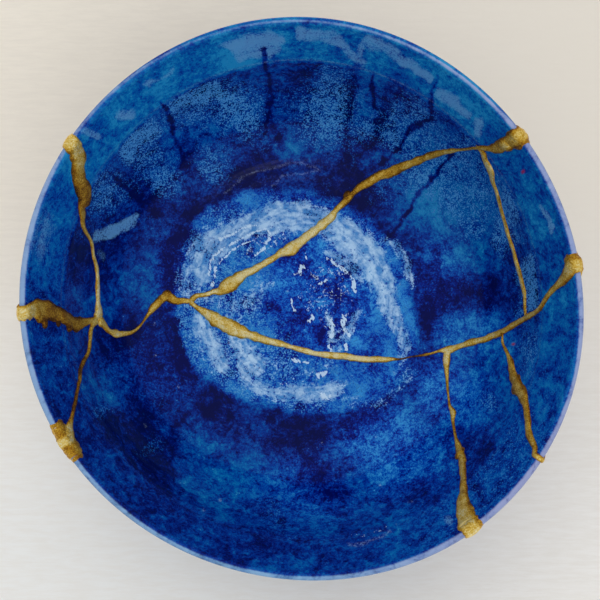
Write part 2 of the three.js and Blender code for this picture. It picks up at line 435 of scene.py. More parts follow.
print("outline length in mm:", round(len(fine_outline) * OUTLINE_STEP))


# %% Rows of the outline, closer where the eye is
LIP_STEP, SEEN_STEP, OUTSIDE_STEP = 0.28, 0.5, 1.1
LIP_ZONE, FOOT_ZONE, FOOT_ZONE_TOP = 59, (34, 44), 6.4


def row_step(radius, height, is_inside):
    """How far apart the rows are in millimetres."""
    if height > LIP_ZONE:
        return LIP_STEP
    on_foot = height < FOOT_ZONE_TOP and FOOT_ZONE[0] < radius < FOOT_ZONE[1]
    return SEEN_STEP if is_inside or on_foot else OUTSIDE_STEP


rows, since = [0], 0.0
lip_at = int(np.argmax(fine_outline[:, 1]))
for i in range(1, len(fine_outline)):
    since += OUTLINE_STEP
    if since >= row_step(*fine_outline[i], i < lip_at):
        rows.append(i)
        since = 0.0
rows[-1] = len(fine_outline) - 1
slope = np.gradient(fine_outline, axis=0)
outward = unit(np.column_stack([-slope[:, 1], slope[:, 0]]))
outward[0], outward[-1] = (0, 1), (0, -1)
outline_mesh = plain_mesh(
    "outline",
    np.column_stack([fine_outline[rows, 0], np.zeros(len(rows)), fine_outline[rows, 1]]) * MM,
    outward=np.column_stack([outward[rows, 0], np.zeros(len(rows)), outward[rows, 1]]),
    travel=np.array(rows) * OUTLINE_STEP,
    inside=(np.array(rows) < lip_at).astype(float),
)
print("rows in the outline:", len(rows))

# %% [markdown]
# ## Turning the bowl
#
# The body is a rule: an outline, turned, drawn a little out of round as it dried, with the faint
# rings that fingers leave. Geometry Nodes suit that. A grid is bent so that its columns run round
# the bowl and its rows follow the outline. Merging closes the seam and the two poles. The drawn-out
# shape is a share of the radius with two lobes and with three lobes, as measured on the rim.

# %% The out-of-round rule
OVAL_SHARE, OVAL_BEARING = 0.0143, math.radians(-44)
THREE_SHARE, THREE_BEARING = 0.0084, math.radians(-38)
ROUND_BELOW, ROUND_ABOVE = 7.0, 62.0


def stretch(points):
    """How much each point, in millimetres, is drawn away from the axis."""
    bearing = np.arctan2(points[:, 1], points[:, 0])
    share = OVAL_SHARE * np.cos(2 * (bearing - OVAL_BEARING))
    share += THREE_SHARE * np.cos(3 * (bearing - THREE_BEARING))
    return 1 + share * soft_step(points[:, 2], ROUND_BELOW, ROUND_ABOVE)


def drawn_out(points):
    """Points of the round bowl, in millimetres, moved to the real, drawn-out bowl."""
    factor = stretch(points)
    return points * np.column_stack([factor, factor, np.ones(len(points))])


# %% The tree that turns an outline
# Rings fade in and out between these heights: fingers leave none near the axis and on the lip.
RINGS_START, RINGS_END, RING_DRIFT = (8.0, 12.0), (57.0, 60.0), 1.6
# Waves to the metre, and the radii between which the pool's ripples fade.
WANDER_SCALE, RIPPLE_SCALE, RIPPLES_END = 45.0, 240.0, (36.0, 44.0)
# Half the width of the two creases, at their deepest and at their edge.
SHOULDER_CREASE, FLOOR_CREASE, FLOOR_CREASE_SHARE = (0.1, 0.7), (0.2, 0.9), 0.6


def turning_tree():
    tree, given = new_tree("turned_bowl", {
        "Columns": "Int",
        "Rows": "Int",
        "Ring height": "Float",
        "Ring pitch": "Float",
        "Wander": "Float",
        "Ripple": "Float",
        "Crease": "Float",
        "Seed": "Float",
        "Material": "Material",
    })
    grid, across, along = flat_grid(tree, given["Columns"] + 1, given["Rows"])
    angle, row = across * math.tau, whole(along * (given["Rows"] - 1))

    def at_row(value, kind="FLOAT_VECTOR"):
        return sampled(tree, given["Geometry"], value, row, kind)

    radius, _, height = at_row(position(tree)).parts()
    out_r, _, out_z = at_row(carried(tree, "outward")).parts()
    travel = at_row(carried(tree, "travel", "FLOAT"), "FLOAT")
    inside = at_row(carried(tree, "inside", "FLOAT"), "FLOAT")
    cosine, sine = angle.call("COSINE"), angle.call("SINE")
    flat = vector(tree, radius * cosine, radius * sine, height + given["Seed"])
    wander = noise(tree, flat, WANDER_SCALE)
    here = (height / MM).smooth(*RINGS_START) * (1 - (height / MM).smooth(*RINGS_END))
    rings = ((travel / given["Ring pitch"] + wander * RING_DRIFT) * math.tau).call("SINE")
    relief = rings * given["Ring height"] * here + (wander - 0.5) * given["Wander"] * here
    # The pool in the well dried with a skin of ripples, and a crease marks shoulder and floor.
    ripples = noise(tree, flat, RIPPLE_SCALE, distortion=0.6)
    in_pool = inside * (1 - (radius / MM).smooth(*RIPPLES_END))
    relief = relief + (ripples - 0.5) * given["Ripple"] * in_pool
    shoulder = 1 - (height / MM - SHOULDER_HEIGHT).call("ABSOLUTE").smooth(*SHOULDER_CREASE)
    floor_edge = 1 - (radius / MM - FLOOR_EDGE).call("ABSOLUTE").smooth(*FLOOR_CREASE)
    creases = shoulder + floor_edge * FLOOR_CREASE_SHARE
    relief = relief - creases * given["Crease"] * inside
    turned_r, turned_z = radius + out_r * relief, height + out_z * relief
    oval = ((angle - OVAL_BEARING) * 2).call("COSINE") * OVAL_SHARE
    three = ((angle - THREE_BEARING) * 3).call("COSINE") * THREE_SHARE
    drawn = 1 + (oval + three) * (height / MM).smooth(ROUND_BELOW, ROUND_ABOVE)
    place = vector(tree, turned_r * drawn * cosine, turned_r * drawn * sine, turned_z)
    close_tree(tree, bent(tree, grid, place), given["Material"])
    return tree


# %% [markdown]
# ## The cracks
#
# Each crack was read off the photograph as a line in plan on the inside, with the width of its gold
# and how dark the gold is there, from 0 for pale cream gold to 1 for burnt brown. A crack goes
# through the wall along the ribs, so the same line also gives the seam on the outside.

# %% Seam lines: x, y and width in millimetres, then how dark the gold is
# How dark the gold is: partly its own tone and partly painted light and shade.
LUMPED_SEAMS = {
    "upper left": (145.7, [
        (-63.5, 44, 5.1, 0.3), (-64, 41, 4.9, 0.35), (-64.5, 38, 4.9, 0.55),
        (-65, 35, 5, 0.75), (-64.5, 32.5, 5.9, 0.8), (-64.5, 31, 5.7, 0.85),
        (-65.5, 29, 4.5, 0.85), (-66, 27.5, 2.4, 0.7), (-66, 26, 2.7, 0.65),
        (-66.5, 24, 2.1, 0.45), (-66.5, 22, 1.2, 0.4), (-66, 20.5, 1.2, 0.25),
        (-65.5, 18.5, 1.2, 0.25), (-65.5, 14.5, 1.3, 0.3), (-65, 11.5, 1.4, 0.25),
        (-65, 8, 1.7, 0.2), (-65, 3.5, 1.9, 0.1), (-65, 1, 1.9, 0.1),
        (-65, -2.5, 2.9, 0.2), (-65, -5.5, 4.5, 0.25),
    ]),
    "left": (182.7, [
        (-77, -3, 4.5, 0.25), (-76, -2.5, 6, 0.6), (-75, -2.5, 6.6, 0.75),
        (-74, -2.5, 5.5, 0.8), (-73.5, -3, 4.7, 0.8), (-72.5, -3.5, 4.5, 0.8),
        (-71, -5, 4.5, 0.8), (-70, -6.5, 4.8, 0.85), (-69.5, -7, 4.3, 0.75),
        (-68.5, -7, 4, 0.75), (-68, -6, 2.8, 0.7), (-66.5, -6, 1.8, 0.5),
        (-65, -5.5, 3.2, 0.3),
    ]),
    "lower left": (210.7, [
        (-67, -37, 3.4, 0.25), (-67, -35, 1.7, 0.6), (-67, -33, 1.3, 0.85),
        (-67, -31, 1.3, 0.9), (-67, -28.5, 1.2, 0.85), (-67, -26, 1.2, 0.8),
        (-67, -23.5, 1.5, 0.6), (-67.5, -20.5, 1.5, 0.85), (-67, -17, 1.5, 0.75),
        (-66.5, -16, 1.2, 0.5), (-66.5, -12, 1.4, 0.45), (-66.5, -8.5, 1.6, 0.4),
        (-66, -6.5, 1.9, 0.35), (-65, -5.5, 2.6, 0.3),
    ]),
    "above the well": (37.2, [
        (61.5, 47, 4.5, 0.45), (61, 46.5, 4.3, 0.5), (59.5, 46, 4.3, 0.55),
        (58, 45.5, 3.2, 0.6), (56, 46, 2.1, 0.7), (53.5, 47, 1.1, 0.4),
        (50.5, 47.5, 0.8, 0.45), (47.5, 48, 1.6, 0.35), (44.5, 48, 2.2, 0.5),
        (39.5, 47, 2.6, 0.55), (34, 45.5, 3.1, 0.6), (28.5, 43.5, 3.7, 0.65),
        (24, 41.5, 3.4, 0.6), (19.5, 39, 2.4, 0.65), (17, 37, 1.7, 0.7),
        (15, 35, 2.7, 0.7), (12, 32, 1.7, 0.4), (9.5, 29, 2.9, 0.12),
        (5, 25.5, 3.1, 0.1), (1, 22, 3.1, 0.12), (-2, 20, 4.1, 0.15),
        (-4, 18.5, 4.8, 0.2), (-7, 17, 3.1, 0.25), (-9.5, 15.5, 2, 0.3),
        (-13.5, 13, 2.4, 0.2), (-18.5, 10.5, 2.7, 0.15), (-21, 9, 3.7, 0.2),
        (-23, 7.5, 4.7, 0.3), (-25.5, 6, 5.4, 0.4), (-28, 4, 3, 0.35),
        (-30, 4, 1.7, 0.2), (-32, 3, 1.4, 0.15), (-36, 2.5, 1.7, 0.35),
        (-38, 0.5, 1.9, 0.4),
    ]),
    "below the well": (7.3, [
        (76.5, 8.5, 4.4, 0.35), (76, 7, 3.2, 0.45), (74.5, 4.5, 2, 0.5),
        (73.5, 3, 1.9, 0.5), (72.5, 1, 1.6, 0.5), (71.5, -1.5, 1.5, 0.45),
        (70.5, -3.5, 1.7, 0.4), (69, -5, 1.9, 0.4), (66.5, -7, 1.9, 0.4),
        (64, -9.5, 2.1, 0.4), (59, -12, 2.3, 0.35), (53, -14, 2, 0.35),
        (48.5, -16, 2.7, 0.3), (46, -16, 0.8, 0.35), (41.5, -17.5, 1, 0.5),
        (37, -18, 0.35, 0.75), (33, -19, 0.5, 0.6), (29.5, -19, 1.4, 0.25),
        (27, -19, 2, 0.2), (22, -19, 2.2, 0.12), (13, -18, 2.4, 0.12),
        (4, -17, 2, 0.12), (-3.5, -15, 1.7, 0.15), (-10.5, -13, 2.4, 0.15),
        (-14.5, -12, 2.7, 0.2), (-18, -11, 3.2, 0.2), (-21, -10, 4.1, 0.2),
        (-24.5, -8.5, 5.1, 0.25), (-28, -6, 5.2, 0.25), (-31, -4.5, 4.4, 0.25),
        (-33.5, -3, 2.7, 0.3), (-35.5, -1.5, 1.4, 0.3), (-38, 0.5, 1.7, 0.4),
    ]),
    "lower right": (-53.4, [
        (45.5, -61, 5.6, 0.3), (46, -58, 4.4, 0.5), (47, -55, 2.6, 0.6),
        (48, -51.5, 2.1, 0.5), (49, -48, 2.9, 0.5), (49, -45.5, 2.5, 0.55),
        (48.5, -43.5, 1.3, 0.5), (48.5, -40.5, 0.8, 0.55), (48.5, -38, 1, 0.4),
        (49, -35.5, 2.3, 0.35), (48, -34, 0.8, 0.4), (48, -30.5, 0.7, 0.3),
        (48, -25.5, 1, 0.4), (48, -21.5, 2, 0.35), (48, -18.5, 2.7, 0.25),
        (48.5, -16, 2.9, 0.25),
    ]),
    "right": (-33.6, [
        (65, -41, 1.6, 0.5), (65, -40.5, 2, 0.5), (64.5, -38, 2.6, 0.55),
        (65, -34.5, 2.3, 0.6), (65.5, -31, 2.4, 0.6), (65.5, -28, 3.6, 0.55),
        (65, -24.5, 4.3, 0.6), (65, -20, 2.8, 0.6), (64.5, -16, 1.3, 0.4),
        (63.5, -12.5, 0.8, 0.4), (64, -9.5, 0.4, 0.4),
    ]),
}
PLAIN_SEAMS = {
    "left of the well": [
        (-65, -5.5, 4.5, 0.3), (-63.5, -7, 1.9, 0.45), (-62.5, -9, 1.6, 0.4),
        (-61, -10, 2.3, 0.3), (-60, -10.5, 2.8, 0.3), (-58.5, -10, 2.1, 0.4),
        (-56.5, -10, 1.5, 0.5), (-54.5, -8.5, 1, 0.6), (-53, -6.5, 0.8, 0.6),
        (-51.5, -4, 1.2, 0.5), (-50, -1.5, 2.3, 0.45), (-48, 0.5, 3, 0.6),
        (-45.5, 3, 3.4, 0.7), (-44, 1.5, 3, 0.7), (-42, 0.5, 2.4, 0.6),
        (-40, 1, 1.9, 0.5), (-38, 0.5, 1.9, 0.4),
    ],
    "down the right wall": [
        (53.5, 47, 1.1, 0.35), (55, 45.5, 1.8, 0.3), (56, 43.5, 2.4, 0.3),
        (58, 40.5, 3.3, 0.25), (59, 37.5, 1.8, 0.35), (60.5, 34.5, 1.7, 0.35),
        (61.5, 31.5, 1.7, 0.35), (64, 24, 1.6, 0.3), (66.5, 15.5, 1.7, 0.3),
        (68, 8.5, 1.9, 0.3), (69, 3, 1.7, 0.35), (69, -0.5, 1.2, 0.4),
        (69, -5, 1.1, 0.4),
    ],
}
ALL_SEAMS = [*LUMPED_SEAMS.values(), *((None, points) for points in PLAIN_SEAMS.values())]
print("seams:", len(ALL_SEAMS))

# %% [markdown]
# ## From a line in plan to a path on the wall
#
# A seam has to lie on the glaze all the way: along the inside, over the lip and down the outside.
# A point in plan gives a radius, and the ribs at that radius give the matching points on both
# faces, with the direction that points off each face. Working from the ribs keeps the outside seam
# exactly behind the inside one, as it is in a real crack.

# %% Points on the wall's two faces
INSIDE, OUTSIDE = 0, 1
STATION_STEP, SHARE_BEYOND_LIP = 0.4, 0.6
BEYOND_LIP = LIP_RIB + (LIP_RIB - RIBS[-1]) * SHARE_BEYOND_LIP
CUT_WALL = np.vstack([WALL, BEYOND_LIP])


def spun(radius, height, bearing):
    """Points given by radius and height, turned to their bearings."""
    return np.column_stack([radius * np.cos(bearing), radius * np.sin(bearing), height])


def on_wall(plan, face, wall=WALL):
    """Points on a face of the wall and the directions off it, for points in plan."""
    radius, bearing = np.hypot(*plan.T), np.arctan2(plan[:, 1], plan[:, 0])
    slopes = np.gradient(wall, axis=0)
    r, z, along_r, along_z = (
        np.interp(radius, wall[:, 0], table[:, 2 * face + k]) for table in (wall, slopes) for k in (0, 1)
    )
    length = np.hypot(along_r, along_z) * (1 if face == INSIDE else -1)
    return spun(r, z, bearing), spun(-along_z / length, along_r / length, bearing)


def seam_line(bearing, points, step=STATION_STEP):
    """A seam's line at even steps, out to the lip if it has a bearing there."""
    knots = np.array(points, float)
    if bearing is not None:
        edge = (*LIP_RIB[0] * heading(bearing), *knots[0, 2:])
        knots = np.vstack([edge, knots])
    return eased(spaced(knots, step), 2)


# %% A seam's run of gold: place, direction off the glaze, width and shade
def run_on(face, line):
    return np.hstack([*on_wall(line[:, :2], face), line[:, 2:]])


def over_lip(bearing, end):
    """The stretch over the lip, from the inside to the outside."""
    turn = half_turn[1:-1:2]
    bearings = np.full(len(turn), math.radians(bearing))
    r = lip_middle[0] + lip_half * np.cos(turn)
    z = lip_middle[1] + LIP_RISE * np.sin(turn)
    off_r, off_z = np.cos(turn) / lip_half, np.sin(turn) / LIP_RISE
    length = np.hypot(off_r, off_z)
    ends = np.tile(end, (len(turn), 1))
    return np.hstack([spun(r, z, bearings), spun(off_r / length, off_z / length, bearings), ends])


FOOT_MARGIN, LEAST_STATIONS = 1.8, 5


def off_the_foot(run):
    """The run in pieces, without its stretch over the foot ring, where the gold is flush."""
    radius = np.hypot(run[:, 0], run[:, 1])
    near_ring = (radius > FOOT_INNER - FOOT_MARGIN) & (radius < FOOT_OUTER + FOOT_MARGIN)
    on_foot = (run[:, 5] < 0) & near_ring
    cuts = np.flatnonzero(np.diff(on_foot.astype(int))) + 1
    pieces = zip(np.split(run, cuts), np.split(on_foot, cuts))
    return [piece for piece, skipped in pieces if not skipped[0] and len(piece) > LEAST_STATIONS]


def seam_runs(bearing, points):
    line = seam_line(bearing, points)
    inside, outside = run_on(INSIDE, line), run_on(OUTSIDE, line)
    if bearing is None:
        return [inside, *off_the_foot(outside)]
    return off_the_foot(np.vstack([inside[::-1], over_lip(bearing, line[0, 2:]), outside]))


GOLD_RUNS = [run for seam in ALL_SEAMS for run in seam_runs(*seam)]
print("runs of gold:", len(GOLD_RUNS), "with", sum(len(run) for run in GOLD_RUNS), "stations")

# %% [markdown]
# ## One tree for everything that is swept along a seam
#
# The sheets that cut the cracks and the beads of gold are both a section carried along a path.
# Blender's own sweep can only make its section larger and smaller, but a bead changes its width and
# its height apart from each other. So the path's points carry three vectors, to the side, up and
# below, and a grid reads them row by row while its columns read the section's points.

# %% The sweeping tree
def sweeping_tree():
    tree, given = new_tree("swept_along_seam", {
        "Section": "Object",
        "Corners": "Float",
        "Stations": "Float",
        "Grain": "Float",
        "Grain size": "Float",
        "Material": "Material",
    })
    grid, across, along = flat_grid(tree, whole(given["Corners"] + 1), whole(given["Stations"]))
    column = (across * given["Corners"]).call("ROUND")
    corner = whole(column.math("MODULO", column, given["Corners"]))
    station = whole(along * (given["Stations"] - 1))
    section = Wire.node(
        tree, "GeometryNodeObjectInfo", {}, {"Object": given["Section"]}, out="Geometry"
    )

    def at_station(value):
        return sampled(tree, given["Geometry"], value, station)

    amounts = sampled(tree, section, position(tree), corner).parts()
    ways = [at_station(carried(tree, label)) for label in ("side", "up", "below")]
    place = shifted(tree, at_station(position(tree)), *zip(ways, amounts))
    swept = bent(tree, grid, place)
    close_tree(tree, grained(tree, swept, given), given["Material"])
    return tree


def shifted(tree, place, *moves):
    """A place moved along vectors, each times a number."""
    for way, amount in moves:
        scaled = Wire.node(
            tree, "ShaderNodeVectorMath", {"operation": "SCALE"}, {0: way, "Scale": amount}
        )
        place = Wire.node(tree, "ShaderNodeVectorMath", {"operation": "ADD"}, {0: place, 1: scaled})
    return place


def grained(tree, geometry, given):
    """Moves a surface in and out by a fine noise, as brushed lacquer dries."""
    rise = (noise(tree, position(tree), 1 / given["Grain size"]) - 0.5) * given["Grain"]
    off = Wire.node(tree, "GeometryNodeInputNormal")
    move = shifted(tree, vector(tree, 0.0, 0.0, 0.0), (off, rise))
    return Wire.node(tree, "GeometryNodeSetPosition", {}, {"Geometry": geometry, "Offset": move})


# %% Sections and stations for it
def section_object(name, points):
    """A helper without faces that holds a section's points: across, up and below."""
    return placed(name, plain_mesh(name, points))


def station_mesh(name, place, side, up, below):
    """Stations for the sweeping tree, with an empty one at each end so that the ends are shut."""
    place = np.vstack([place[:1], place, place[-1:]])
    vectors = {}
    for label, values in {"side": side, "up": up, "below": below}.items():
        vectors[label] = np.vstack([np.zeros((1, 3)), values, np.zeros((1, 3))]) * MM
    return plain_mesh(name, place * MM, **vectors)


SWEPT_GRAIN_SIZE = 0.9 * MM


def sweep(name, stations, section, material, grain=0.0):
    return grow(name, stations, sweep_tree, {
        "Section": section,
        "Corners": float(len(section.data.vertices)),
        "Stations": float(len(stations.vertices)),
        "Grain": grain * MM,
        "Grain size": SWEPT_GRAIN_SIZE,
        "Material": material,
    })


sweep_tree = sweeping_tree()
print("nodes in the sweeping tree:", len(sweep_tree.nodes))

# %% [markdown]
# ## Two empty materials
#
# The pieces need their materials while they are made, but the recipes come at the end, once there
# is something to look at. So both materials are named here and filled in later.

# %% Names of the two finishes
def empty_material(name):
    made = bpy.data.materials.new(name)
    made.use_nodes = True
    made.node_tree.nodes.clear()
    return made


glaze, gold = empty_material("blue_glaze"), empty_material("burnished_gold")
print("materials to fill in later:", glaze.name, "and", gold.name)

# %% The bowl, whole
bowl = grow("whole_bowl", outline_mesh, turning_tree(), {
    "Columns": 640,
    "Rows": len(rows),
    "Ring height": 0.02 * MM,
    "Ring pitch": 5.2,
    "Wander": 0.25 * MM,
    "Ripple": 0.5 * MM,
    "Crease": 0.22 * MM,
    "Seed": 0.37,
    "Material": glaze,
})

# %% [markdown]
# ## Breaking it
#
# A thin sheet along each seam, from above the glaze to well below the foot, cuts the wall. The
# boolean needs closed meshes and is quick even at this size. Where three cracks meet, every sheet
# ends on the same point, so the sherds come fully apart. The part of the bowl inside the sheets is
# kept too: it is the filler that shows where the gold is flush, in the foot ring.

# %% Sheets that cut the cracks
# A crack's width, how far its sheet stands over the inside and reaches down, and its rows' step.
CRACK, SHEET_ABOVE, SHEET_BELOW, SHEET_STEP = 0.36, 2.5, 20, 0.9
sheet_section = section_object("sheet_section", [(1, 1, 0), (1, 0, 1), (-1, 0, 1), (-1, 1, 0)])


def crack_sheet(index, bearing, points):
    plan = seam_line(bearing, points, SHEET_STEP)[:, :2]
    start = plan[0] * 2 - plan[1] if bearing is None else BEYOND_LIP[0] * heading(bearing)
    plan = np.vstack([start, plan, plan[-1] * 2 - plan[-2]])
    inner, outer = (on_wall(plan, face, CUT_WALL)[0] for face in (INSIDE, OUTSIDE))
    up = unit(inner - outer)
    inner = drawn_out(inner)
    side = unit(np.cross(np.gradient(inner, axis=0), up)) * CRACK / 2
    stations = station_mesh(f"sheet_{index}", inner, side, up * SHEET_ABOVE, up * -SHEET_BELOW)
    return sweep(f"sheet_{index}", stations, sheet_section, glaze)


def combine(target, tools, operation):
    """Joins, cuts or meets the target with each tool in turn, and clears the tools away."""
    for tool in tools:
        step = target.modifiers.new("step", "BOOLEAN")
        step.operation, step.solver, step.object = operation, "MANIFOLD", tool
    settled(target)
    for tool in tools:
        bpy.data.objects.remove(tool)


sheets = [crack_sheet(i, *seam) for i, seam in enumerate(ALL_SEAMS)]
combine(sheets[0], sheets[1:], "UNION")
cracks = sheets[0]
filler = placed("filler", bowl.data.copy())
combine(filler, [placed("cracks_again", cracks.data)], "INTERSECT")
combine(bowl, [cracks], "DIFFERENCE")
print("filler in cubic mm:", round(volume(filler.data) / MM**3))

# %% [markdown]
# ## Naming the sherds
#
# The broken bowl is one mesh of loose parts. Each sherd is known by a point inside it on the plan,
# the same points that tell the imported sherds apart.

# %% Eight sherds
SHERD_MARKS = {
    "sherd_top": (-10, 55),
    "sherd_upper_right": (70, 25),
    "sherd_center": (25, 10),
    "sherd_right": (72, -16),
    "sherd_lower_right": (58, -36),
    "sherd_bottom": (-10, -50),
    "sherd_lower_left": (-71, -18),
    "sherd_upper_left": (-72, 14),
}


def shells_of(thing):
    """The closed shells of a mesh that touch nowhere, each as an object of its own."""
    bpy.ops.object.select_all(action="DESELECT")
    thing.select_set(True)
    bpy.context.view_layer.objects.active = thing
    bpy.ops.mesh.separate(type="LOOSE")
    return list(bpy.context.selected_objects)


loose = {thing: corners(thing.data) / MM for thing in shells_of(bowl)}
sherds = {}
for node, mark in SHERD_MARKS.items():
    point = drawn_out(on_wall(np.array([mark], float), INSIDE)[0])[0]
    nearest = min(loose, key=lambda thing: np.linalg.norm(loose[thing] - point, axis=1).min())
    nearest.name = nearest.data.name = node.replace("sherd", "glazed_sherd")
    sherds[node] = nearest
for crumb in set(loose) - set(sherds.values()):
    bpy.data.objects.remove(crumb)
for node, sherd in sherds.items():
    print(sherd.name, len(sherd.data.polygons), "faces")
assert len(set(sherds.values())) == len(SHERD_MARKS)

# %% [markdown]
# ## The gold
#
# The mender fills the crack, lays a bead of lacquer over it on both faces and dusts it with metal
# powder. A bead is low and domed, its edges wander, and it is fat where the lacquer ran. It is
# swept as a lens-shaped section whose skirt reaches a little into the glaze, so no edge can lift.

# %% Beads along the seams
rng = np.random.default_rng(11)
# A bead's height over the glaze grows with its width, and its skirt reaches into the glaze.
THIN_RISE, RISE_PER_WIDTH, LEAST_RISE, MOST_RISE, SKIRT = 0.28, 0.14, 0.32, 0.85, 0.35
# How much a bead wanders, as a share of its size, and over what length in millimetres.
WIDTH_SWAYS, RISE_SWAY, MIDDLE_SWAY = ((0.16, 2.1), (0.07, 0.8)), (0.2, 3.0), (0.1, 2.7)
BEAD_GRAIN, LEAST_ROUNDING = 0.12, 0.02
# The section is a little fuller than a half round, and its skirt is a little narrower.
FULLNESS, SKIRT_SHARE = 0.85, 0.92
bead_section = section_object("bead_section", [
    *((math.cos(t), math.sin(t) ** FULLNESS, 0) for t in np.linspace(0, math.pi, 11)),
    (-SKIRT_SHARE, 0, 1),
    (SKIRT_SHARE, 0, 1),
])


def wandering(travel, amount, size):
    """A soft random line, up and down by an amount, that changes over a given length."""
    knots = rng.uniform(-1, 1, int(travel[-1] / size) + 4)
    start = np.floor(travel / size).astype(int)
    t = soft_step(travel / size - start, 0, 1)
    return amount * mixed(knots[start], knots[start + 1], t)


def bead(index, run):
    place, off, width = drawn_out(run[:, :3]), run[:, 3:6], run[:, 6]
    travel = travelled(place)
    side = unit(np.cross(np.gradient(place, axis=0), off))
    to_end = np.minimum(travel, travel[-1] - travel)
    near_end = 1 - np.minimum(to_end / (width / 2), 1)
    rounding = np.sqrt(np.clip(1 - near_end**2, LEAST_ROUNDING, 1))
    half = width / 2 * rounding * (1 + sum(wandering(travel, *sway) for sway in WIDTH_SWAYS))
    rise = np.clip(RISE_PER_WIDTH * width + THIN_RISE, LEAST_RISE, MOST_RISE)
    rise = rise * rounding * (1 + wandering(travel, *RISE_SWAY))
    place = place + side * (width * wandering(travel, *MIDDLE_SWAY))[:, None]
    stations = station_mesh(
        f"bead_{index}", place, side * half[:, None], off * rise[:, None], off * -SKIRT
    )
    return sweep(f"bead_{index}", stations, bead_section, gold, grain=BEAD_GRAIN)


beads = [bead(i, run) for i, run in enumerate(GOLD_RUNS)]

# %% [markdown]
# ## Lumps and drips
#
# The lacquer gathered where a seam wraps the lip, and dried in fat spots and drips elsewhere. All
# are one small ball, repeated on points that carry a size and a turn, and roughened by the same noise.
# Balls overlap, so each is joined to the gold on its own: no wall is left inside it.

# %% The lump tree
def lump_tree():
    tree, given = new_tree("gold_lumps", {
        "Fineness": "Int", "Grain": "Float", "Grain size": "Float", "Material": "Material",
    })
    ball = Wire.node(
        tree, "GeometryNodeMeshIcoSphere", {}, {"Radius": 1.0, "Subdivisions": given["Fineness"]}
    )
    spread = Wire.node(tree, "GeometryNodeInstanceOnPoints", {}, {
        "Points": given["Geometry"],
        "Instance": ball,
        "Rotation": carried(tree, "turn"),
        "Scale": carried(tree, "size"),
    })
    real = Wire.node(tree, "GeometryNodeRealizeInstances", {}, {"Geometry": spread})
    close_tree(tree, grained(tree, real, given), given["Material"])
    return tree


# %% Where the lumps sit
# On the lip: bearing in degrees, length along the rim and how far it stands out, in millimetres.
LIP_LUMPS = [
    (145.7, 6.5, 0.2), (182.7, 7.5, 0.3), (210.8, 15.5, 0.7), (37.0, 8.5, 1.1), (8.2, 8.0, 0.5),
    (-53.0, 9.0, 0.5), (-33.6, 5.0, 0.2),
]
# A lump's length and depth, how high its crown stands over the lip's rounding, how much lower
# the lumps at the ends of a chain sit, and how far every lump stands out of the lip's sides.
LIP_LUMP_LENGTH, LIP_LUMP_DEPTH = 4.6, 3.4
LIP_LUMP_CROWN, END_DROP, LEAST_PROUD = 1.75, 0.35, 0.15
LUMP_SPACING = 2
# On the inside: place in plan, length, width and height, and the bearing of the length.
WALL_LUMPS = [
    (-74.5, -6.4, 3.2, 2.2, 0.9, 80),
    (-72.2, -6.2, 2.8, 2.0, 0.8, 85),
    (-70.4, -7.6, 3.2, 2.8, 1.1, 60),
    (15.1, 36.6, 3.2, 2.2, 0.9, 48),
    (-4.4, 18.6, 5.2, 3.4, 0.9, 34),
    (-24.6, 6.8, 6.4, 4.2, 0.9, 34),
    (-45.6, 2.8, 3.6, 3.0, 0.9, 30),
    (59.8, 46.0, 5.4, 4.0, 1.3, 10),
    (48.8, -46.8, 4.6, 2.8, 0.9, 84),
    (65.0, -25.0, 6.6, 3.4, 0.9, 92),
]


def turn_to(ahead, off):
    """The turn that lays a thing's X along one way and its Z along another."""
    side = unit(np.cross(off, ahead))
    return tuple(Matrix(np.array([np.cross(side, off), side, off]).T.tolist()).to_euler())


def lip_lumps(bearing, length, proud):
    """A chain of lumps over the lip, largest in the middle."""
    spread = math.degrees((length - LIP_LUMP_LENGTH) / 2 / lip_middle[0])
    for place in np.linspace(-1, 1, max(1, round(length / LUMP_SPACING))):
        turn = math.radians(bearing + place * spread)
        height = LIP_RIB[1] + LIP_LUMP_CROWN - LIP_LUMP_DEPTH - END_DROP * place**2
        middle = spun(np.array([lip_middle[0]]), np.array([height]), np.array([turn]))
        along_rim = np.array((-math.sin(turn), math.cos(turn), 0))
        wide = lip_half + LEAST_PROUD + proud * math.sqrt(1 - 0.8 * place**2)
        size = (LIP_LUMP_LENGTH / 2, wide * rng.uniform(1.0, 1.15), LIP_LUMP_DEPTH)
        yield drawn_out(middle)[0], size, turn_to(along_rim, np.array((0, 0, 1.0)))


def wall_lump(x, y, length, width, height, bearing):
    place, off = on_wall(np.array([(x, y)], float), INSIDE)
    ahead = np.array((*heading(bearing), 0))
    ahead = unit(ahead - off[0] * ahead.dot(off[0]))
    return drawn_out(place)[0], (length / 2, width / 2, height), turn_to(ahead, off[0])


found = [lump for row in LIP_LUMPS for lump in lip_lumps(*row)]
found += [wall_lump(*row) for row in WALL_LUMPS]
places, sizes, turns = (np.array(column) for column in zip(*found))
lump_points = plain_mesh("lump_points", places * MM, size=sizes * MM, turn=turns)
lumps = grow("lumps", lump_points, lump_tree(), {
    "Fineness": 4, "Grain": 0.3 * MM, "Grain size": 2.2 * MM, "Material": gold,
})

# %% One body of gold
combine(filler, [*beads, *shells_of(lumps)], "UNION")
*crumbs, gold_seams = sorted(shells_of(filler), key=lambda shell: len(shell.data.polygons))
print("faces in crumbs left out:", [len(crumb.data.polygons) for crumb in crumbs])
for crumb in crumbs:
    bpy.data.objects.remove(crumb)
gold_seams.name = gold_seams.data.name = "mended_gold"
gold_seams.data.materials.clear()
gold_seams.data.materials.append(gold)
print("gold:", len(gold_seams.data.polygons), "faces")

# %% [markdown]
# ## How dark the gold is
#
# The gold is burnt brown on some stretches and pale cream on others, partly where the powder is
# thin and partly painted light and shade, and the edges of a bead are browner than its crown,
# partly as painted shade where the dome turns away. Every vertex takes the shade of the nearest
# station, and its distance from the bead's middle, as a share of the width, says how near the edge
# it is.

# %% Shade and edge on the gold
LEAST_HALF, EDGE_SHARES = 0.3, (0.62, 1.05)


